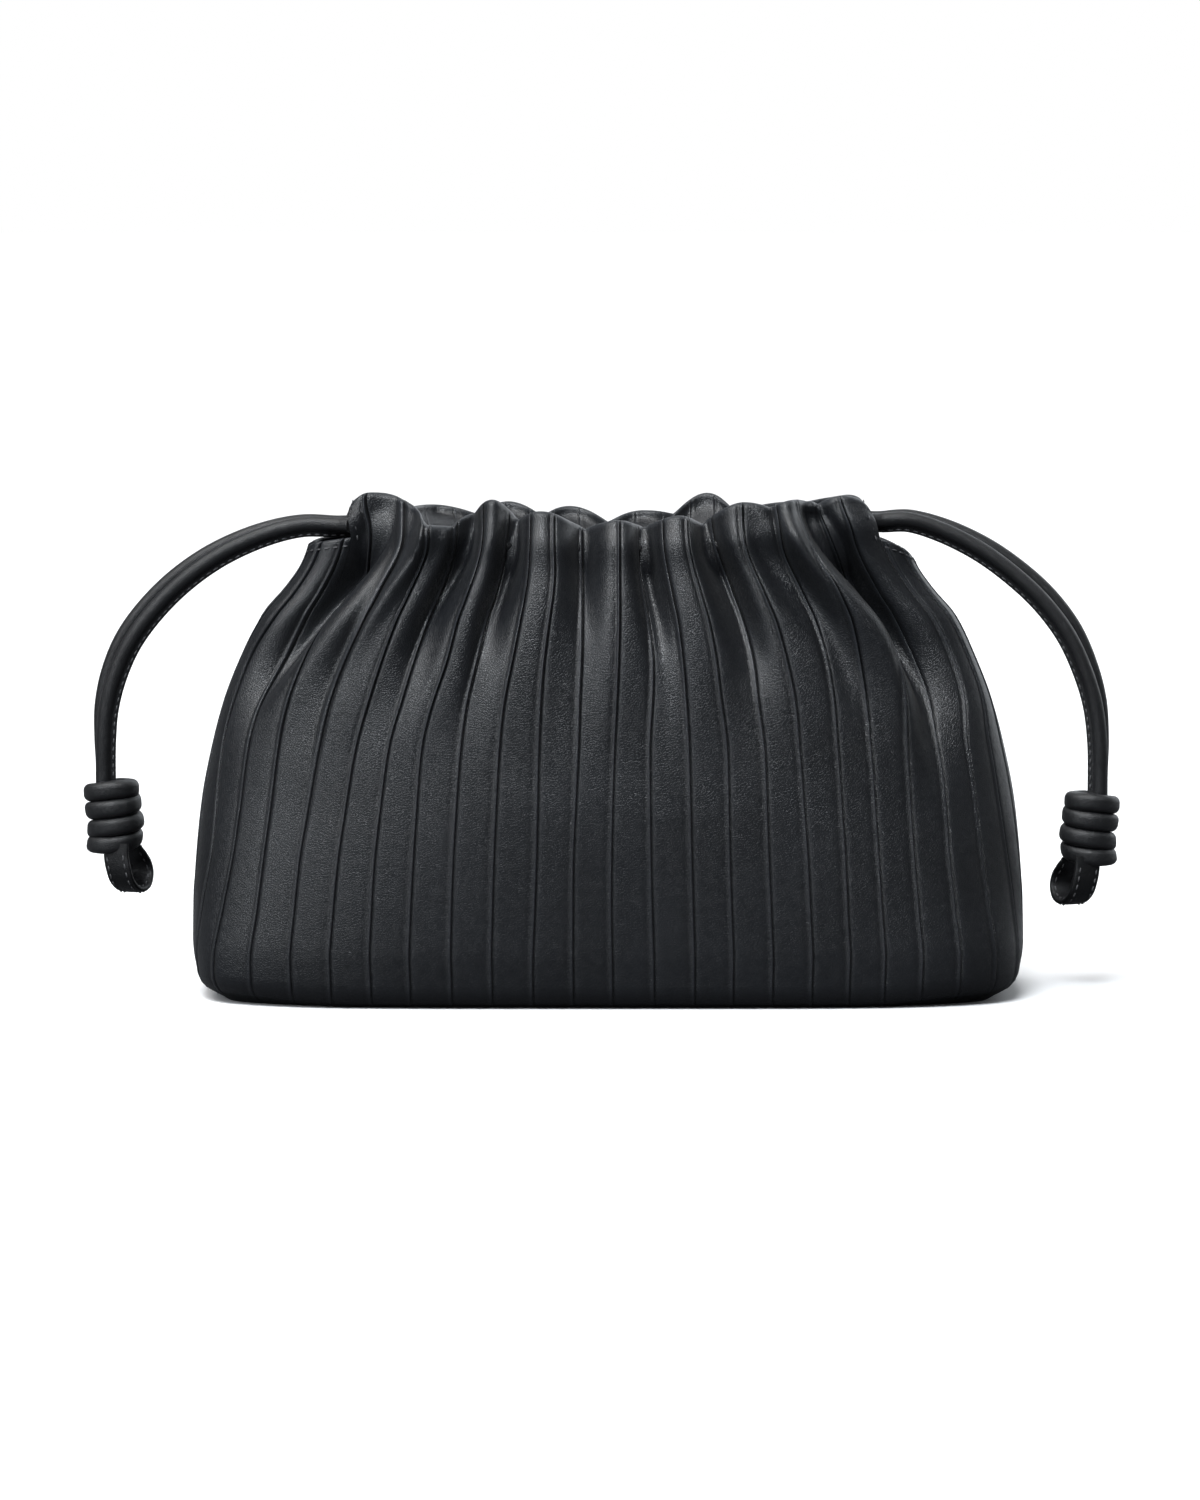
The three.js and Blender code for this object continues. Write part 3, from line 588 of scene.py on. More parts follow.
def mixColor(tree, factor, first, second, blend="MIX"):
    first, second = [(*color, 1) if isinstance(color, tuple) else color for color in (first, second)]
    mix = addNode(tree, "ShaderNodeMix", data_type="RGBA", blend_type=blend)
    setInputs(tree, mix, {0: factor, 6: first, 7: second})
    return mix.outputs[2]


def noise(tree, spot, scale, detail, rough=0.5):
    values = {"Vector": spot, "Scale": scale, "Detail": detail, "Roughness": rough}
    return addNode(tree, "ShaderNodeTexNoise", values).outputs["Fac"]


def leatherMaterial(name, look):
    # fine pebbled grain over a slow unevenness, with shade painted into creases, and paler edges, partly
    # wear and partly painted highlight
    material, tree, shader = startMaterial(name)
    spot = addNode(tree, "ShaderNodeTexCoord").outputs["Object"]
    cells = addNode(tree, "ShaderNodeTexVoronoi", {"Vector": spot, "Scale": look["grainScale"]},
                    feature="DISTANCE_TO_EDGE").outputs["Distance"]
    wrinkle = noise(tree, spot, look["wrinkleScale"], 5, 0.6)
    color = rampBetween(tree, noise(tree, spot, look["cloudScale"], 3), look["dark"], look["light"])
    color = mixColor(tree, 1.0, color, mapRange(tree, cells, 0.72, 1, 0, 0.12), "MULTIPLY")
    if look["attributes"]:
        # painted shade darkens the creases; the paler edges are partly wear and partly painted highlight
        for label in ("wearAndHighlight", "creaseShade"):
            mark = addNode(tree, "ShaderNodeAttribute", attribute_name=label).outputs["Fac"]
            share = mapRange(tree, mark, 0, look[label + "Share"])
            color = mixColor(tree, share, color, look[label + "Color"])
    fine = addNode(tree, "ShaderNodeBump", {
        "Strength": look["grainStrength"], "Distance": look["grainHeight"],
        "Height": mapRange(tree, cells, 0, 1, 0, 0.16)})
    soft = addNode(tree, "ShaderNodeBump", {
        "Strength": look["wrinkleStrength"], "Distance": look["wrinkleHeight"],
        "Height": wrinkle, "Normal": fine.outputs["Normal"]})
    rough = mapRange(tree, wrinkle, look["roughLow"], look["roughHigh"], 0.3, 0.7)
    setInputs(tree, shader, {"Base Color": color, "Roughness": rough, "Normal": soft.outputs["Normal"],
                             "Specular IOR Level": look["specular"], "Sheen Weight": look["sheen"],
                             "Sheen Roughness": 0.45})
    return material


# the crease colour is painted shade; the edge colour is partly wear and partly painted highlight
panelLook = {"grainScale": 1250, "wrinkleScale": 320, "cloudScale": 26, "attributes": True,
             "dark": (0.0040, 0.0047, 0.0060), "light": (0.0068, 0.0078, 0.0098),
             "wearAndHighlightShare": 0.5, "wearAndHighlightColor": (0.026, 0.029, 0.034),
             "creaseShadeShare": 0.8, "creaseShadeColor": (0.0012, 0.0014, 0.0018),
             "roughLow": 0.30, "roughHigh": 0.44, "grainStrength": 0.5, "grainHeight": 0.00012,
             "wrinkleStrength": 0.35, "wrinkleHeight": 0.0004, "specular": 0.42, "sheen": 0.03}
cordLook = dict(panelLook, grainScale=1500, wrinkleScale=420, dark=(0.004, 0.0042, 0.0050),
                light=(0.007, 0.0074, 0.0085), attributes=False, roughLow=0.36, roughHigh=0.5)
strapLook = dict(cordLook, dark=(0.0020, 0.0022, 0.0027), light=(0.0036, 0.0039, 0.0046),
                 specular=0.3, sheen=0.0)
soleLook = dict(panelLook, grainScale=900, attributes=False, roughLow=0.55, roughHigh=0.7, sheen=0.0)
threadLook = {"twistScale": 2600, "dark": (0.030, 0.030, 0.033), "light": (0.085, 0.086, 0.090),
              "twistStrength": 0.5, "twistHeight": 0.0001, "rough": 0.5, "sheen": 0.1}
panelLeather = leatherMaterial("blackPleatedLeather", panelLook)
cordLeather = leatherMaterial("blackCordLeather", cordLook)
strapLeather = leatherMaterial("blackStrapLeather", strapLook)
soleLeather = leatherMaterial("blackSoleLeather", soleLook)


def threadMaterial(look):
    # waxed twisted thread
    material, tree, shader = startMaterial("blackThread")
    spot = addNode(tree, "ShaderNodeTexCoord").outputs["Object"]
    twist = noise(tree, spot, look["twistScale"], 2)
    bump = addNode(tree, "ShaderNodeBump", {
        "Strength": look["twistStrength"], "Distance": look["twistHeight"], "Height": twist})
    setInputs(tree, shader, {"Base Color": rampBetween(tree, twist, look["dark"], look["light"]),
                             "Normal": bump.outputs["Normal"], "Roughness": look["rough"],
                             "Sheen Weight": look["sheen"]})
    return material


thread = threadMaterial(threadLook)
print("clutch bag: finishes made")


# cords first, with the knots and loops that hang on them
cordSizes = {"diameter": 6, "strand": 2.75, "flangeReach": 4.6, "flangeHalf": 0.8, "stitchReach": 3.7,
             "lead": 6, "apartAcross": 3.0, "apartUp": 1.5, "besideKnotAxis": 3.1, "pairOffset": 0.3}
# where the cords leave their sleeves, with how much higher the left and the right pair sit
sleeveExit = {"x": 92.44, "y": 8.34, "z": 169.49, "lift": {-1: 0.4, 1: 2}, "across": 0.88, "inward": 0.474}

# the cords' routes down to their knots, each for the front strand of its pair
leftRoute = [
    (-110, 4.6, 170), (-124, 3.7, 166.5), (-140, 3.5, 159.2), (-153.6, 3.5, 149.6), (-165, 3.5, 138.2),
    (-173.2, 3.5, 126.8), (-178.6, 3.5, 114.6), (-181.6, 3.5, 102.8), (-182.6, 3.5, 91.5)]
rightRoute = [
    (108, 4.6, 171.8), (120, 3.7, 168.2), (134, 3.5, 161.2), (146, 3.5, 152.6), (157, 3.5, 142.4),
    (166, 3.5, 130.6), (172, 3.5, 118.2), (176.2, 3.5, 105), (178, 3.5, 91)]


def centripetal(points, count):
    # the same curve as three.js draws through its points
    p = [Vector(q) for q in points]
    p = [p[0] * 2 - p[1]] + p + [p[-1] * 2 - p[-2]]
    spans = len(p) - 3
    found = []
    for k in range(count + 1):
        at = k / count * spans
        i = min(int(at), spans - 1)
        w = at - i
        a, b, c, d = p[i:i + 4]
        t0, t1, t2 = [max((q - r).length, 1e-6) ** 0.5 for q, r in ((b, a), (c, b), (d, c))]
        m1 = ((b - a) / t0 - (c - a) / (t0 + t1) + (c - b) / t1) * t1
        m2 = ((c - b) / t1 - (d - b) / (t1 + t2) + (d - c) / t2) * t1
        w2, w3 = w * w, w * w * w
        found.append(b * (2 * w3 - 3 * w2 + 1) + m1 * (w3 - 2 * w2 + w)
                     + c * (3 * w2 - 2 * w3) + m2 * (w3 - w2))
    return found


def evenly(points, count):
    # the same line with its points at equal distances
    p = np.array([tuple(q) for q in points])
    along = np.concatenate(([0], np.cumsum(np.linalg.norm(np.diff(p, axis=0), axis=1))))
    wanted = np.linspace(0, along[-1], count)
    return np.stack([np.interp(wanted, along, p[:, k]) for k in range(3)], axis=1), along[-1]


def roundStrand(angles):
    r = cordSizes["strand"]
    return [(r * math.cos(a), r * math.sin(a)) for a in np.radians(angles)]


def flangedStrand():
    # a rolled strand with its stitched flange, as (towards the flange, across it)
    half, reach = cordSizes["flangeHalf"], cordSizes["flangeReach"]
    foot, near, tip = cordSizes["strand"] + 0.2, reach - 0.5, reach - 0.1
    edge = [(foot, -half * 0.9), (near, -half * 0.95), (tip, -half * 0.6), (reach, 0), (tip, half * 0.6)]
    return [(near, half * 0.95), (foot, half * 0.9)] + roundStrand(np.linspace(24, 336, 25)) + edge


def ringFaces(count, ring):
    # the faces between neighbouring rings of points
    faces = []
    for i in range(count - 1):
        for j in range(ring):
            k = (j + 1) % ring
            faces.append((i * ring + j, i * ring + k, (i + 1) * ring + k, (i + 1) * ring + j))
    return faces


def sweep(name, line, sideAt, profile, finish, scaleAt=lambda t: 1):
    # a profile carried along a line, with its first direction turned to a side and its size to a scale
    p = np.asarray(line)
    shares = [k / (len(p) - 1) for k in range(len(p))]
    tangent = np.gradient(p, axis=0)
    tangent /= np.linalg.norm(tangent, axis=1)[:, None]
    side = np.array([sideAt(t) for t in shares])
    side -= tangent * np.sum(side * tangent, axis=1)[:, None]
    side /= np.linalg.norm(side, axis=1)[:, None]
    across = np.cross(tangent, side)
    shape = np.array(profile)
    scale = np.array([scaleAt(t) for t in shares])[:, None, None]
    verts = p[:, None] + side[:, None] * shape[:, :1] * scale + across[:, None] * shape[:, 1:] * scale
    count, ring = verts.shape[:2]
    faces = ringFaces(count, ring)
    faces.append(tuple(range(ring))[::-1])
    faces.append(tuple((count - 1) * ring + j for j in range(ring)))
    mesh = meshFrom(name, verts.reshape(-1, 3), faces)
    finishMesh(mesh, angle=55)
    return addPiece(name, mesh, finish), p, side, across


stitchRows = {"cord": []}


def freeCord(name, side, strand, route, knot):
    # strand is -1 for the front one and 1 for the rear one
    height = sleeveExit["z"] + sleeveExit["lift"][side]
    start = Vector((side * sleeveExit["x"], strand * sleeveExit["y"], height))
    away = Vector((side * sleeveExit["across"], -strand * sleeveExit["inward"], 0))
    top = knot[1] + knotSizes["turns"] * knotSizes["pitch"] / 2 + bag["gap"]
    points = [start + away * bag["gap"], start + away * cordSizes["lead"]]
    points += [Vector((x, strand * y, z)) for x, y, z in route]
    if strand > 0:
        # the rear strand shows outside the front one, most of all half way
        across, up = side * cordSizes["apartAcross"], cordSizes["apartUp"]
        for k in range(len(route)):
            apart = math.sin(math.pi * (k + 0.5) / (len(route) + 0.5)) ** 0.8
            points[k + 2] += Vector((across * apart, 0, up * apart))
    low = strand * (cordSizes["diameter"] / 2 + bag["gap"])
    end = knot[0] + side * (cordSizes["besideKnotAxis"] + cordSizes["pairOffset"] * strand)
    points += [Vector((end, low, top + rise)) for rise in (6, 0, -3)]
    line, length = evenly(centripetal(points, 400), 150)
    path = evenly(line, 38)[0]
    inward = np.array((-side * 1.0, 0.0, -0.75))
    piece, p, flange, across = sweep(name, line, lambda t: inward, flangedStrand(), cordLeather)
    face = np.where(across[:, 1:2] * strand > 0, 1, -1)
    row = p + flange * cordSizes["stitchReach"] + across * face * cordSizes["flangeHalf"]
    stitchRows["cord"].append(row[4:-5])  # the stitches stop before the sleeve and the knot
    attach(piece, "root")
    return piece, path, length, start + away * bag["gap"]


knotSizes = {"diameter": 21, "turns": 4, "pitch": 6.5, "press": 0.05, "spareHeight": 0.7, "shortTurn": 0.2,
             "turn": 36, "bulge": 1.3, "bulgeDrop": 4, "bulgeHeight": 7}
leftKnot = (-180, 64)
rightKnot = (175.5, 59.5)


def startTree(name, inputs):
    # a node tree with a geometry in, a geometry out and these named inputs
    tree = bpy.data.node_groups.new(name, "GeometryNodeTree")
    for label, kind in (("Geometry", "Geometry"), *inputs):
        tree.interface.new_socket(name=label, in_out="INPUT", socket_type="NodeSocket" + kind)
    tree.interface.new_socket(name="Geometry", in_out="OUTPUT", socket_type="NodeSocketGeometry")
    return tree, addNode(tree, "NodeGroupInput").outputs


def endTree(tree, geometry, finish):
    real = addNode(tree, "GeometryNodeRealizeInstances", {"Geometry": geometry}).outputs["Geometry"]
    dressed = addNode(tree, "GeometryNodeSetMaterial", {"Geometry": real, "Material": finish})
    addNode(tree, "NodeGroupOutput", {"Geometry": dressed.outputs["Geometry"]})
    return tree


def knotTree():
    tree, given = startTree("coilKnot", (
        ("Turns", "Float"), ("Coil radius", "Float"), ("Strand radius", "Float"), ("Height", "Float"),
        ("Climbs to the left", "Bool"), ("Leather", "Material")))
    spiral = addNode(tree, "GeometryNodeCurveSpiral", {
        "Resolution": 44, "Rotations": given["Turns"], "Start Radius": given["Coil radius"],
        "End Radius": given["Coil radius"], "Height": given["Height"],
        "Reverse": given["Climbs to the left"]})
    # both ends of the strand are tucked in towards the middle
    along = addNode(tree, "GeometryNodeSplineParameter").outputs["Factor"]
    tucks = []
    for low, high in ((0.0, 0.05), (1.0, 0.95)):
        values = {"Value": along, "From Min": low, "From Max": high, "To Min": 0.45}
        share = addNode(tree, "ShaderNodeMapRange", values, interpolation_type="SMOOTHSTEP")
        tucks.append(share.outputs["Result"])
    # the coil is a little wider at its waist
    off = mathNode(tree, "SUBTRACT", along, 0.55)
    barrel = mathNode(tree, "MULTIPLY_ADD", mathNode(tree, "MULTIPLY", off, off), -0.28, 1.0)
    girth = mathNode(tree, "MULTIPLY", mathNode(tree, "MINIMUM", *tucks), barrel)
    where = addNode(tree, "GeometryNodeInputPosition").outputs["Position"]
    level = addNode(tree, "ShaderNodeCombineXYZ", {"X": girth, "Y": girth}).outputs["Vector"]
    flat = mathNode(tree, "MULTIPLY", where, level, kind="ShaderNodeVectorMath")
    # it climbs between its first and last pass in front, and its ends lie level behind
    climb = mapRange(tree, along, 0, given["Height"], 0.1, 0.9)
    upward = addNode(tree, "ShaderNodeCombineXYZ", {"Z": climb}).outputs["Vector"]
    moved = addNode(tree, "GeometryNodeSetPosition", {
        "Geometry": spiral.outputs["Curve"],
        "Position": mathNode(tree, "ADD", flat, upward, kind="ShaderNodeVectorMath")})
    # a pressed strand: a square with well rounded corners, kept upright along the coil
    upright = addNode(tree, "GeometryNodeSetCurveNormal", {"Curve": moved.outputs["Geometry"]}, mode="Z_UP")
    wide = mathNode(tree, "MULTIPLY", given["Strand radius"], 2.0)
    square = addNode(tree, "GeometryNodeCurvePrimitiveQuadrilateral", {"Width": wide, "Height": wide})
    corner = mathNode(tree, "MULTIPLY", given["Strand radius"], 0.74)
    ring = addNode(tree, "GeometryNodeFilletCurve", {
        "Curve": square.outputs["Curve"], "Radius": corner, "Count": 5}, mode="POLY")
    coil = addNode(tree, "GeometryNodeCurveToMesh", {
        "Curve": upright.outputs["Curve"], "Profile Curve": ring.outputs["Curve"], "Fill Caps": True})
    # a plain core fills the coil
    core = addNode(tree, "GeometryNodeMeshCylinder", {
        "Vertices": 32, "Radius": given["Coil radius"], "Depth": given["Height"]})
    raised = addNode(tree, "ShaderNodeCombineXYZ", {"Z": mathNode(tree, "MULTIPLY", given["Height"], 0.5)})
    lifted = addNode(tree, "GeometryNodeTransform", {
        "Geometry": core.outputs["Mesh"], "Translation": raised.outputs["Vector"]})
    join = addNode(tree, "GeometryNodeJoinGeometry")
    for part in (coil.outputs["Mesh"], lifted.outputs["Geometry"]):
        tree.links.new(part, join.inputs["Geometry"])
    smooth = addNode(tree, "GeometryNodeSetShadeSmooth", {"Geometry": join.outputs["Geometry"]})
    return endTree(tree, smooth.outputs["Geometry"], given["Leather"])


def treeToMesh(name, source, tree, values):
    # runs a node tree on source and keeps its result as a plain mesh
    holder = addObject(name + "Maker", source)
    modifier = holder.modifiers.new("maker", "NODES")
    modifier.node_group = tree
    sockets = {s.name: s.identifier for s in tree.interface.items_tree if s.in_out == "INPUT"}
    for label, value in values.items():
        modifier[sockets[label]] = value
    graph = bpy.context.evaluated_depsgraph_get()
    mesh = bpy.data.meshes.new_from_object(holder.evaluated_get(graph), depsgraph=graph)
    bpy.data.objects.remove(holder)
    mesh.name = name
    return mesh


coilTree = knotTree()


def coilKnot(side, knot):
    turns, pitch = knotSizes["turns"], knotSizes["pitch"]
    strand = pitch / 2 + knotSizes["press"]
    tall = turns * pitch - 2 * strand + knotSizes["spareHeight"]
    values = {"Turns": turns - knotSizes["shortTurn"], "Strand radius": strand * mm,
              "Coil radius": (knotSizes["diameter"] / 2 - strand) * mm, "Height": tall * mm,
              "Climbs to the left": side < 0, "Leather": cordLeather}
    mesh = treeToMesh(f"{side}Knot", bpy.data.meshes.new("empty"), coilTree, values)
    mesh.transform(Matrix.Rotation(math.radians(90 - side * knotSizes["turn"]), 4, "Z"))
    mesh.transform(Matrix.Translation(Vector((knot[0], 0, knot[1] - tall / 2)) * mm))
    # the lower turns bulge towards the bag
    for vertex in mesh.vertices:
        level = (vertex.co.z / mm - knot[1] + knotSizes["bulgeDrop"]) / knotSizes["bulgeHeight"]
        vertex.co.x -= side * knotSizes["bulge"] * mm * math.exp(-level * level)
    finishMesh(mesh, angle=70)
    label = "left" if side < 0 else "right"
    piece = addPiece(f"{label}_coil_knot", mesh, cordLeather)
    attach(piece, "root")
    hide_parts(f"{label}_knot")
    return piece


strapSizes = {"halfWidth": 4.8, "halfThickness": 1.2, "turn": 70, "middle": 4.9, "lean": 0.2,
              "stitchOffset": 3.2, "endTaper": 0.35, "taperFrom": 0.86}
# along the loop's own plane, outer leg first, and down from the knot
loopRoute = [
    (-8.4, -3.5), (-8.9, 1), (-9.3, 5.4), (-8.3, 9.8), (-4.6, 13), (0.4, 13.9), (5.4, 12.6), (8.9, 9),
    (9, 5), (6.4, 1.2), (3.4, -3.5)]


def endLoop(side, knot):
    # a flat strap whose loop stands at a slant to the front, so that its far leg shows its inner face
    label = "left" if side < 0 else "right"
    top = knot[1] - knotSizes["turns"] * knotSizes["pitch"] / 2
    turn = math.radians(strapSizes["turn"])
    run = Vector((-side * math.cos(turn), math.sin(turn), 0))
    middle = Vector((knot[0] - side * strapSizes["middle"], 0, top))
    lean = -side * strapSizes["lean"]  # the loop hangs in towards the bag
    points = [middle + run * s + Vector((lean * max(drop, 0), 0, -drop)) for s, drop in loopRoute]
    line = evenly(centripetal(points, 200), 72)[0]
    flat = np.array((side * math.sin(turn), math.cos(turn), 0.0))
    half, thick = strapSizes["halfWidth"], strapSizes["halfThickness"]
    strap = [(half * np.sign(math.cos(a)) * abs(math.cos(a)) ** 0.8,
              thick * np.sign(math.sin(a)) * abs(math.sin(a)) ** 0.5)
             for a in np.radians(np.arange(0, 360, 12))]

    def taper(t):
        return 1 - strapSizes["endTaper"] * float(stepUp(strapSizes["taperFrom"], 1, t))

    piece, p, flatAt, across = sweep(f"{label}_end_loop", line, lambda t: flat, strap, strapLeather, taper)
    centre = np.array(tuple(middle + Vector((0, 0, -7))))
    outward = np.sign(np.sum(across * (p - centre), axis=1))[:, None]
    # two rows of stitches on each face, short of the knot
    for offset in (strapSizes["stitchOffset"], -strapSizes["stitchOffset"]):
        stitchRows["cord"].append((p + flatAt * offset + across * outward * thick)[8:66])
        stitchRows["cord"].append((p + flatAt * offset - across * outward * thick)[10:64])
    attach(piece, "root")
    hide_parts(f"{label}_loop")
    return piece


for side, label, route, knot in ((-1, "left", leftRoute, leftKnot), (1, "right", rightRoute, rightKnot)):
    knotPiece = coilKnot(side, knot)
    loopPiece = endLoop(side, knot)
    for strand, rank in ((-1, "front"), (1, "back")):
        made = freeCord(f"{label}_cord_{rank}_leather", side, strand, route, knot)
        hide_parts(f"{label}_cord_{rank}")
print("clutch bag: cords, knots and loops made")


# the two leather panels
for node, rows, turn in (("front_panel", frontGathers, False), ("back_panel", backGathers, True)):
    piece = buildPanel(node + "_leather", rows, turn)
    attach(piece, "root")
    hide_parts(node)
    print("clutch bag:", piece.name, sum(len(f.vertices) - 2 for f in piece.data.polygons), "triangles")


def drawcord(name, node, rows, turn):
    pleat = np.linspace(mouth["start"], mouth["end"], 160)
    height = casingMiddle(rows, pleat) - mouth["cordDrop"]
    depth = cordSink(rows, pleat) - mouth["lip"] - mouth["play"] - cordSizes["diameter"] / 2
    line = standing(place(rows, pleat, height), depth, height)
    if turn:
        line = line * halfTurn
    strand = roundStrand(np.arange(0, 360, 13.85))
    piece = sweep(name, line, lambda t: np.array((0, 0, 1.0)), strand, cordLeather)[0]
    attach(piece, "root")
    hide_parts(node)


drawcord("front_drawcord_leather", "front_drawcord", frontGathers, False)
drawcord("back_drawcord_leather", "back_drawcord", backGathers, True)

# the flat leather sole with its rounded edge
sole = {"thickness": 2.6, "inset": 13.3, "edge": 0.9, "bevel": 0.25, "points": 72,
        "stitchInset": 3.2, "stitchHeight": 0.21}


def soleRing(inset, height):
    pleat = np.linspace(0, bag["pleats"], sole["points"] + 1)[:-1]
    x, y, nx, ny = place(frontGathers, pleat, np.full(len(pleat), float(bag["footRadius"])))
    inner = np.minimum(y - ny * inset - bag["gap"] / 2, 0)
    half = np.stack((x - nx * inset, inner, np.full(len(pleat), height)), axis=1)
    half[0, 1] = 0
    return np.concatenate((half, half * halfTurn))


def buildSole():
    t, edge, bevel = sole["thickness"], sole["edge"], sole["bevel"]
    lower = [(30, 0), (8, 0), (edge, 0), (bevel, bevel), (0, edge)]
    upper = [(inset, t - height) for inset, height in reversed(lower)]
    rings = [soleRing(sole["inset"] + inset, height) for inset, height in lower + upper]
    verts = np.concatenate(rings + [np.array([(0, 0, 0), (0, 0, t)])])
    count = len(rings[0])
    faces = ringFaces(len(rings), count)
    end = len(rings) * count
    last = (len(rings) - 1) * count
    for j in range(count):
        k = (j + 1) % count
        faces.append((k, j, end))
        faces.append((last + j, last + k, end + 1))
    mesh = meshFrom("base_panel_leather", verts, faces)
    finishMesh(mesh, angle=50)
    piece = addPiece("base_panel_leather", mesh, soleLeather)
    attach(piece, "root")
    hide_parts("base_panel")


buildSole()

# stitches, laid by one node tree along every row
stitching = {"pitch": 3.0, "length": 2.1, "thickness": 0.55}


def stitchTree():
    tree, given = startTree("stitches", (
        ("Pitch", "Float"), ("Length", "Float"), ("Thickness", "Float"), ("Thread", "Material")))
    points = addNode(tree, "GeometryNodeCurveToPoints", {
        "Curve": given["Geometry"], "Length": given["Pitch"]}, mode="LENGTH")
    turn = addNode(tree, "FunctionNodeAlignRotationToVector", {
        "Vector": points.outputs["Tangent"]}, axis="X")
    bead = addNode(tree, "GeometryNodeMeshUVSphere", {"Segments": 6, "Rings": 4, "Radius": 0.5})
    size = addNode(tree, "ShaderNodeCombineXYZ", {
        "X": given["Length"], "Y": given["Thickness"], "Z": given["Thickness"]})
    put = addNode(tree, "GeometryNodeInstanceOnPoints", {
        "Points": points.outputs["Points"], "Instance": bead.outputs["Mesh"],
        "Rotation": turn.outputs["Rotation"], "Scale": size.outputs["Vector"]})
    return endTree(tree, put.outputs["Instances"], given["Thread"])


stitchMaker = stitchTree()


def layStitches(name, rows, sizes):
    curve = bpy.data.curves.new(name + "Line", "CURVE")
    curve.dimensions = "3D"
    for row in rows:
        spline = curve.splines.new("POLY")
        spline.points.add(len(row) - 1)
        flat = np.concatenate((np.asarray(row) * mm, np.ones((len(row), 1))), axis=1)
        spline.points.foreach_set("co", flat.reshape(-1))
    values = {"Pitch": sizes["pitch"] * mm, "Length": sizes["length"] * mm,
              "Thickness": sizes["thickness"] * mm, "Thread": thread}
    mesh = treeToMesh(name, curve, stitchMaker, values)
    mesh.shade_smooth()
    piece = addPiece(name, mesh, thread)
    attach(piece, "root")


# in pleats along the hem and beside the sleeve's ends, the rest in millimetres
hemStitches = {"fromSeam": 0.35, "fromSleeve": 0.15, "below": 3.0, "stand": 0.45,
               "endInset": 0.22, "endReach": (-6, 5), "endStand": 1.0}


def panelStitches(rows, turn):
    found = []
    low, high = mouth["start"], mouth["end"]
    seam, sleeveGap = hemStitches["fromSeam"], hemStitches["fromSleeve"]
    for a, b in ((seam, low - sleeveGap), (high + sleeveGap, bag["pleats"] - seam)):
        pleat = np.linspace(a, b, 40)
        height = hemLine(rows, pleat) - hemStitches["below"]
        found.append(surfacePoint(rows, pleat, height, hemStitches["stand"]))
    for end, inward in ((low, hemStitches["endInset"]), (high, -hemStitches["endInset"])):
        pleat = np.full(20, end + inward)
        middle = float(casingMiddle(rows, np.array([end]))[0])
        height = np.linspace(*(middle + reach for reach in hemStitches["endReach"]), 20)
        found.append(surfacePoint(rows, pleat, height, hemStitches["endStand"]))
    return [row * halfTurn if turn else row for row in found]


stitchRows["panel"] = panelStitches(frontGathers, False) + panelStitches(backGathers, True)
underRow = soleRing(sole["inset"] + sole["stitchInset"], sole["stitchHeight"])
stitchRows["sole"] = [np.concatenate((underRow, underRow[:1]))]
layStitches("cord_stitches", stitchRows["cord"], stitching)
layStitches("panel_stitches", stitchRows["panel"], stitching)
layStitches("sole_stitches", stitchRows["sole"], dict(stitching, pitch=3.6, thickness=0.4))
print("clutch bag: stitches laid")


# a pale floor under a white sky, with large soft lamps
studio = {"floorColor": (0.9, 0.9, 0.9), "floorBounce": (0.08, 0.083, 0.09), "floorRadius": 14,
          "sky": 0.10, "backdrop": 1.0, "sun": 3.7, "sunSpread": 50, "sunTowards": (0.35, 0.25, -1),
          "tint": (0.90, 0.95, 1.0), "lampTarget": (0, 0, 0.09)}
# power, place in metres, and width and height
lamps = {"keyLamp": (14, (-1.5, -1.2, 0.9), (0.8, 1.0)), "frontLamp": (3.8, (-1.1, -2.2, 0.6), (1.8, 1.4)),
         "fillLamp": (0.6, (1.7, -1.4, 0.9), (1.0, 1.0)), "topLamp": (36, (-0.2, -1.3, 1.7), (0.9, 0.4)),
         "rimLamp": (6, (0.3, 1.6, 1.2), (1.8, 1.0)), "backLamp": (8, (1.0, 2.2, 0.6), (1.8, 1.4)),
         "backKeyLamp": (12, (1.7, 1.2, 0.9), (1.8, 1.6))}


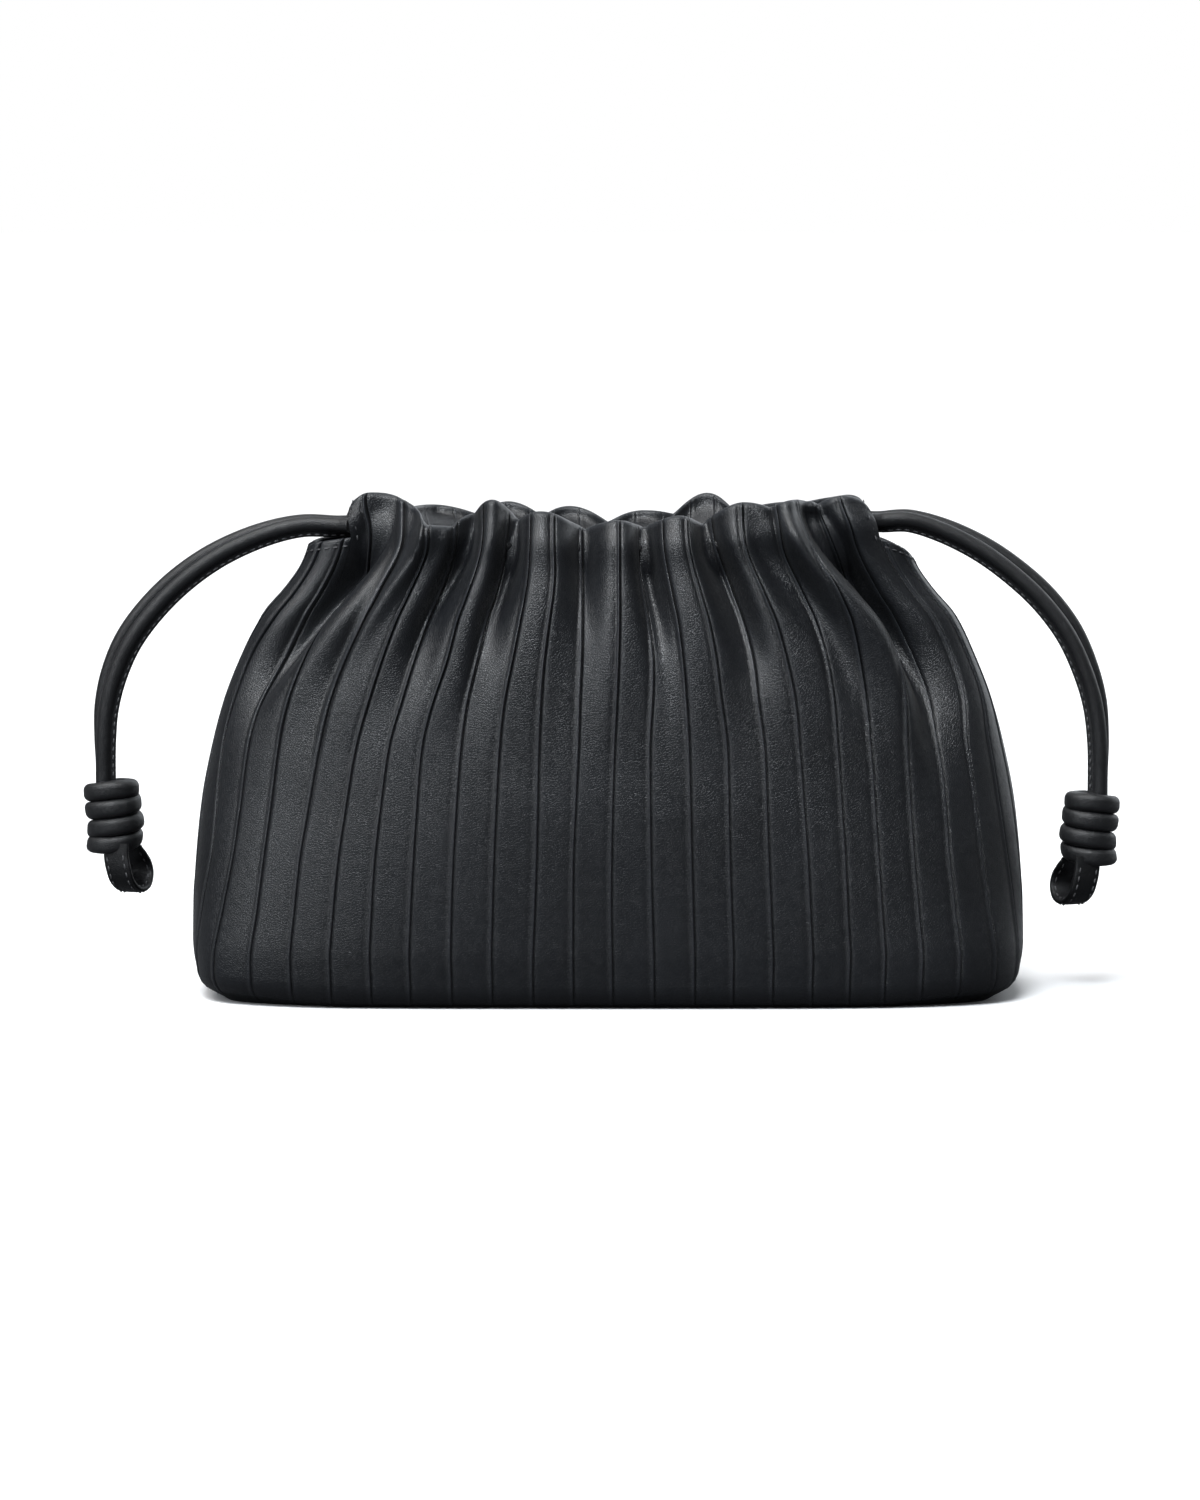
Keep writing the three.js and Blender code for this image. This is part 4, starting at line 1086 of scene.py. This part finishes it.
def makeFloor():
    mesh = bpy.data.meshes.new("studio_floor")
    radius = studio["floorRadius"]
    ring = [(radius * math.cos(a), radius * math.sin(a), 0) for a in np.linspace(0, 2 * math.pi, 65)[:-1]]
    mesh.from_pydata(ring, [], [tuple(range(len(ring)))])
    material, tree, shader = startMaterial("paleFloor")
    # pale to the eye, but it throws less light back up than a white floor would
    seen = addNode(tree, "ShaderNodeLightPath").outputs["Is Camera Ray"]
    color = mixColor(tree, seen, studio["floorBounce"], studio["floorColor"])
    setInputs(tree, shader, {"Base Color": color, "Roughness": 0.8, "Specular IOR Level": 0.1})
    floor = addPiece("studio_floor", mesh, material)


def hangLamp(data, at, towards):
    lamp = addObject(data.name, data)
    lamp.location = at
    lamp.rotation_euler = towards.to_track_quat("-Z", "Y").to_euler()


def makeLamp(name, power, at, size):
    data = bpy.data.lights.new(name, "AREA")
    data.shape = "RECTANGLE"
    data.size, data.size_y = size
    data.energy = power
    data.color = studio["tint"]
    hangLamp(data, at, Vector(studio["lampTarget"]) - Vector(at))


def makeLight():
    world = bpy.data.worlds.new("studioSky")
    world.use_nodes = True
    # white behind the bag, dimmer where it lights the leather
    tree = world.node_tree
    dim = tree.nodes["Background"]
    setInputs(tree, dim, {"Color": (1, 1, 1, 1), "Strength": studio["sky"]})
    white = addNode(tree, "ShaderNodeBackground", {"Color": (1, 1, 1, 1), "Strength": studio["backdrop"]})
    seen = addNode(tree, "ShaderNodeLightPath").outputs["Is Camera Ray"]
    choose = addNode(tree, "ShaderNodeMixShader", {
        "Fac": seen, 1: dim.outputs["Background"], 2: white.outputs["Background"]})
    setInputs(tree, tree.nodes["World Output"], {"Surface": choose.outputs["Shader"]})
    bpy.context.scene.world = world
    sun = bpy.data.lights.new("softSun", "SUN")
    sun.energy = studio["sun"]
    sun.angle = math.radians(studio["sunSpread"])
    hangLamp(sun, (0, 0, 0), Vector(studio["sunTowards"]))
    for name, lamp in lamps.items():
        makeLamp(name, *lamp)
    bpy.context.scene.view_settings.view_transform = "Standard"
    bpy.context.scene.view_settings.look = "None"


makeFloor()
makeLight()
print("clutch bag: studio ready")
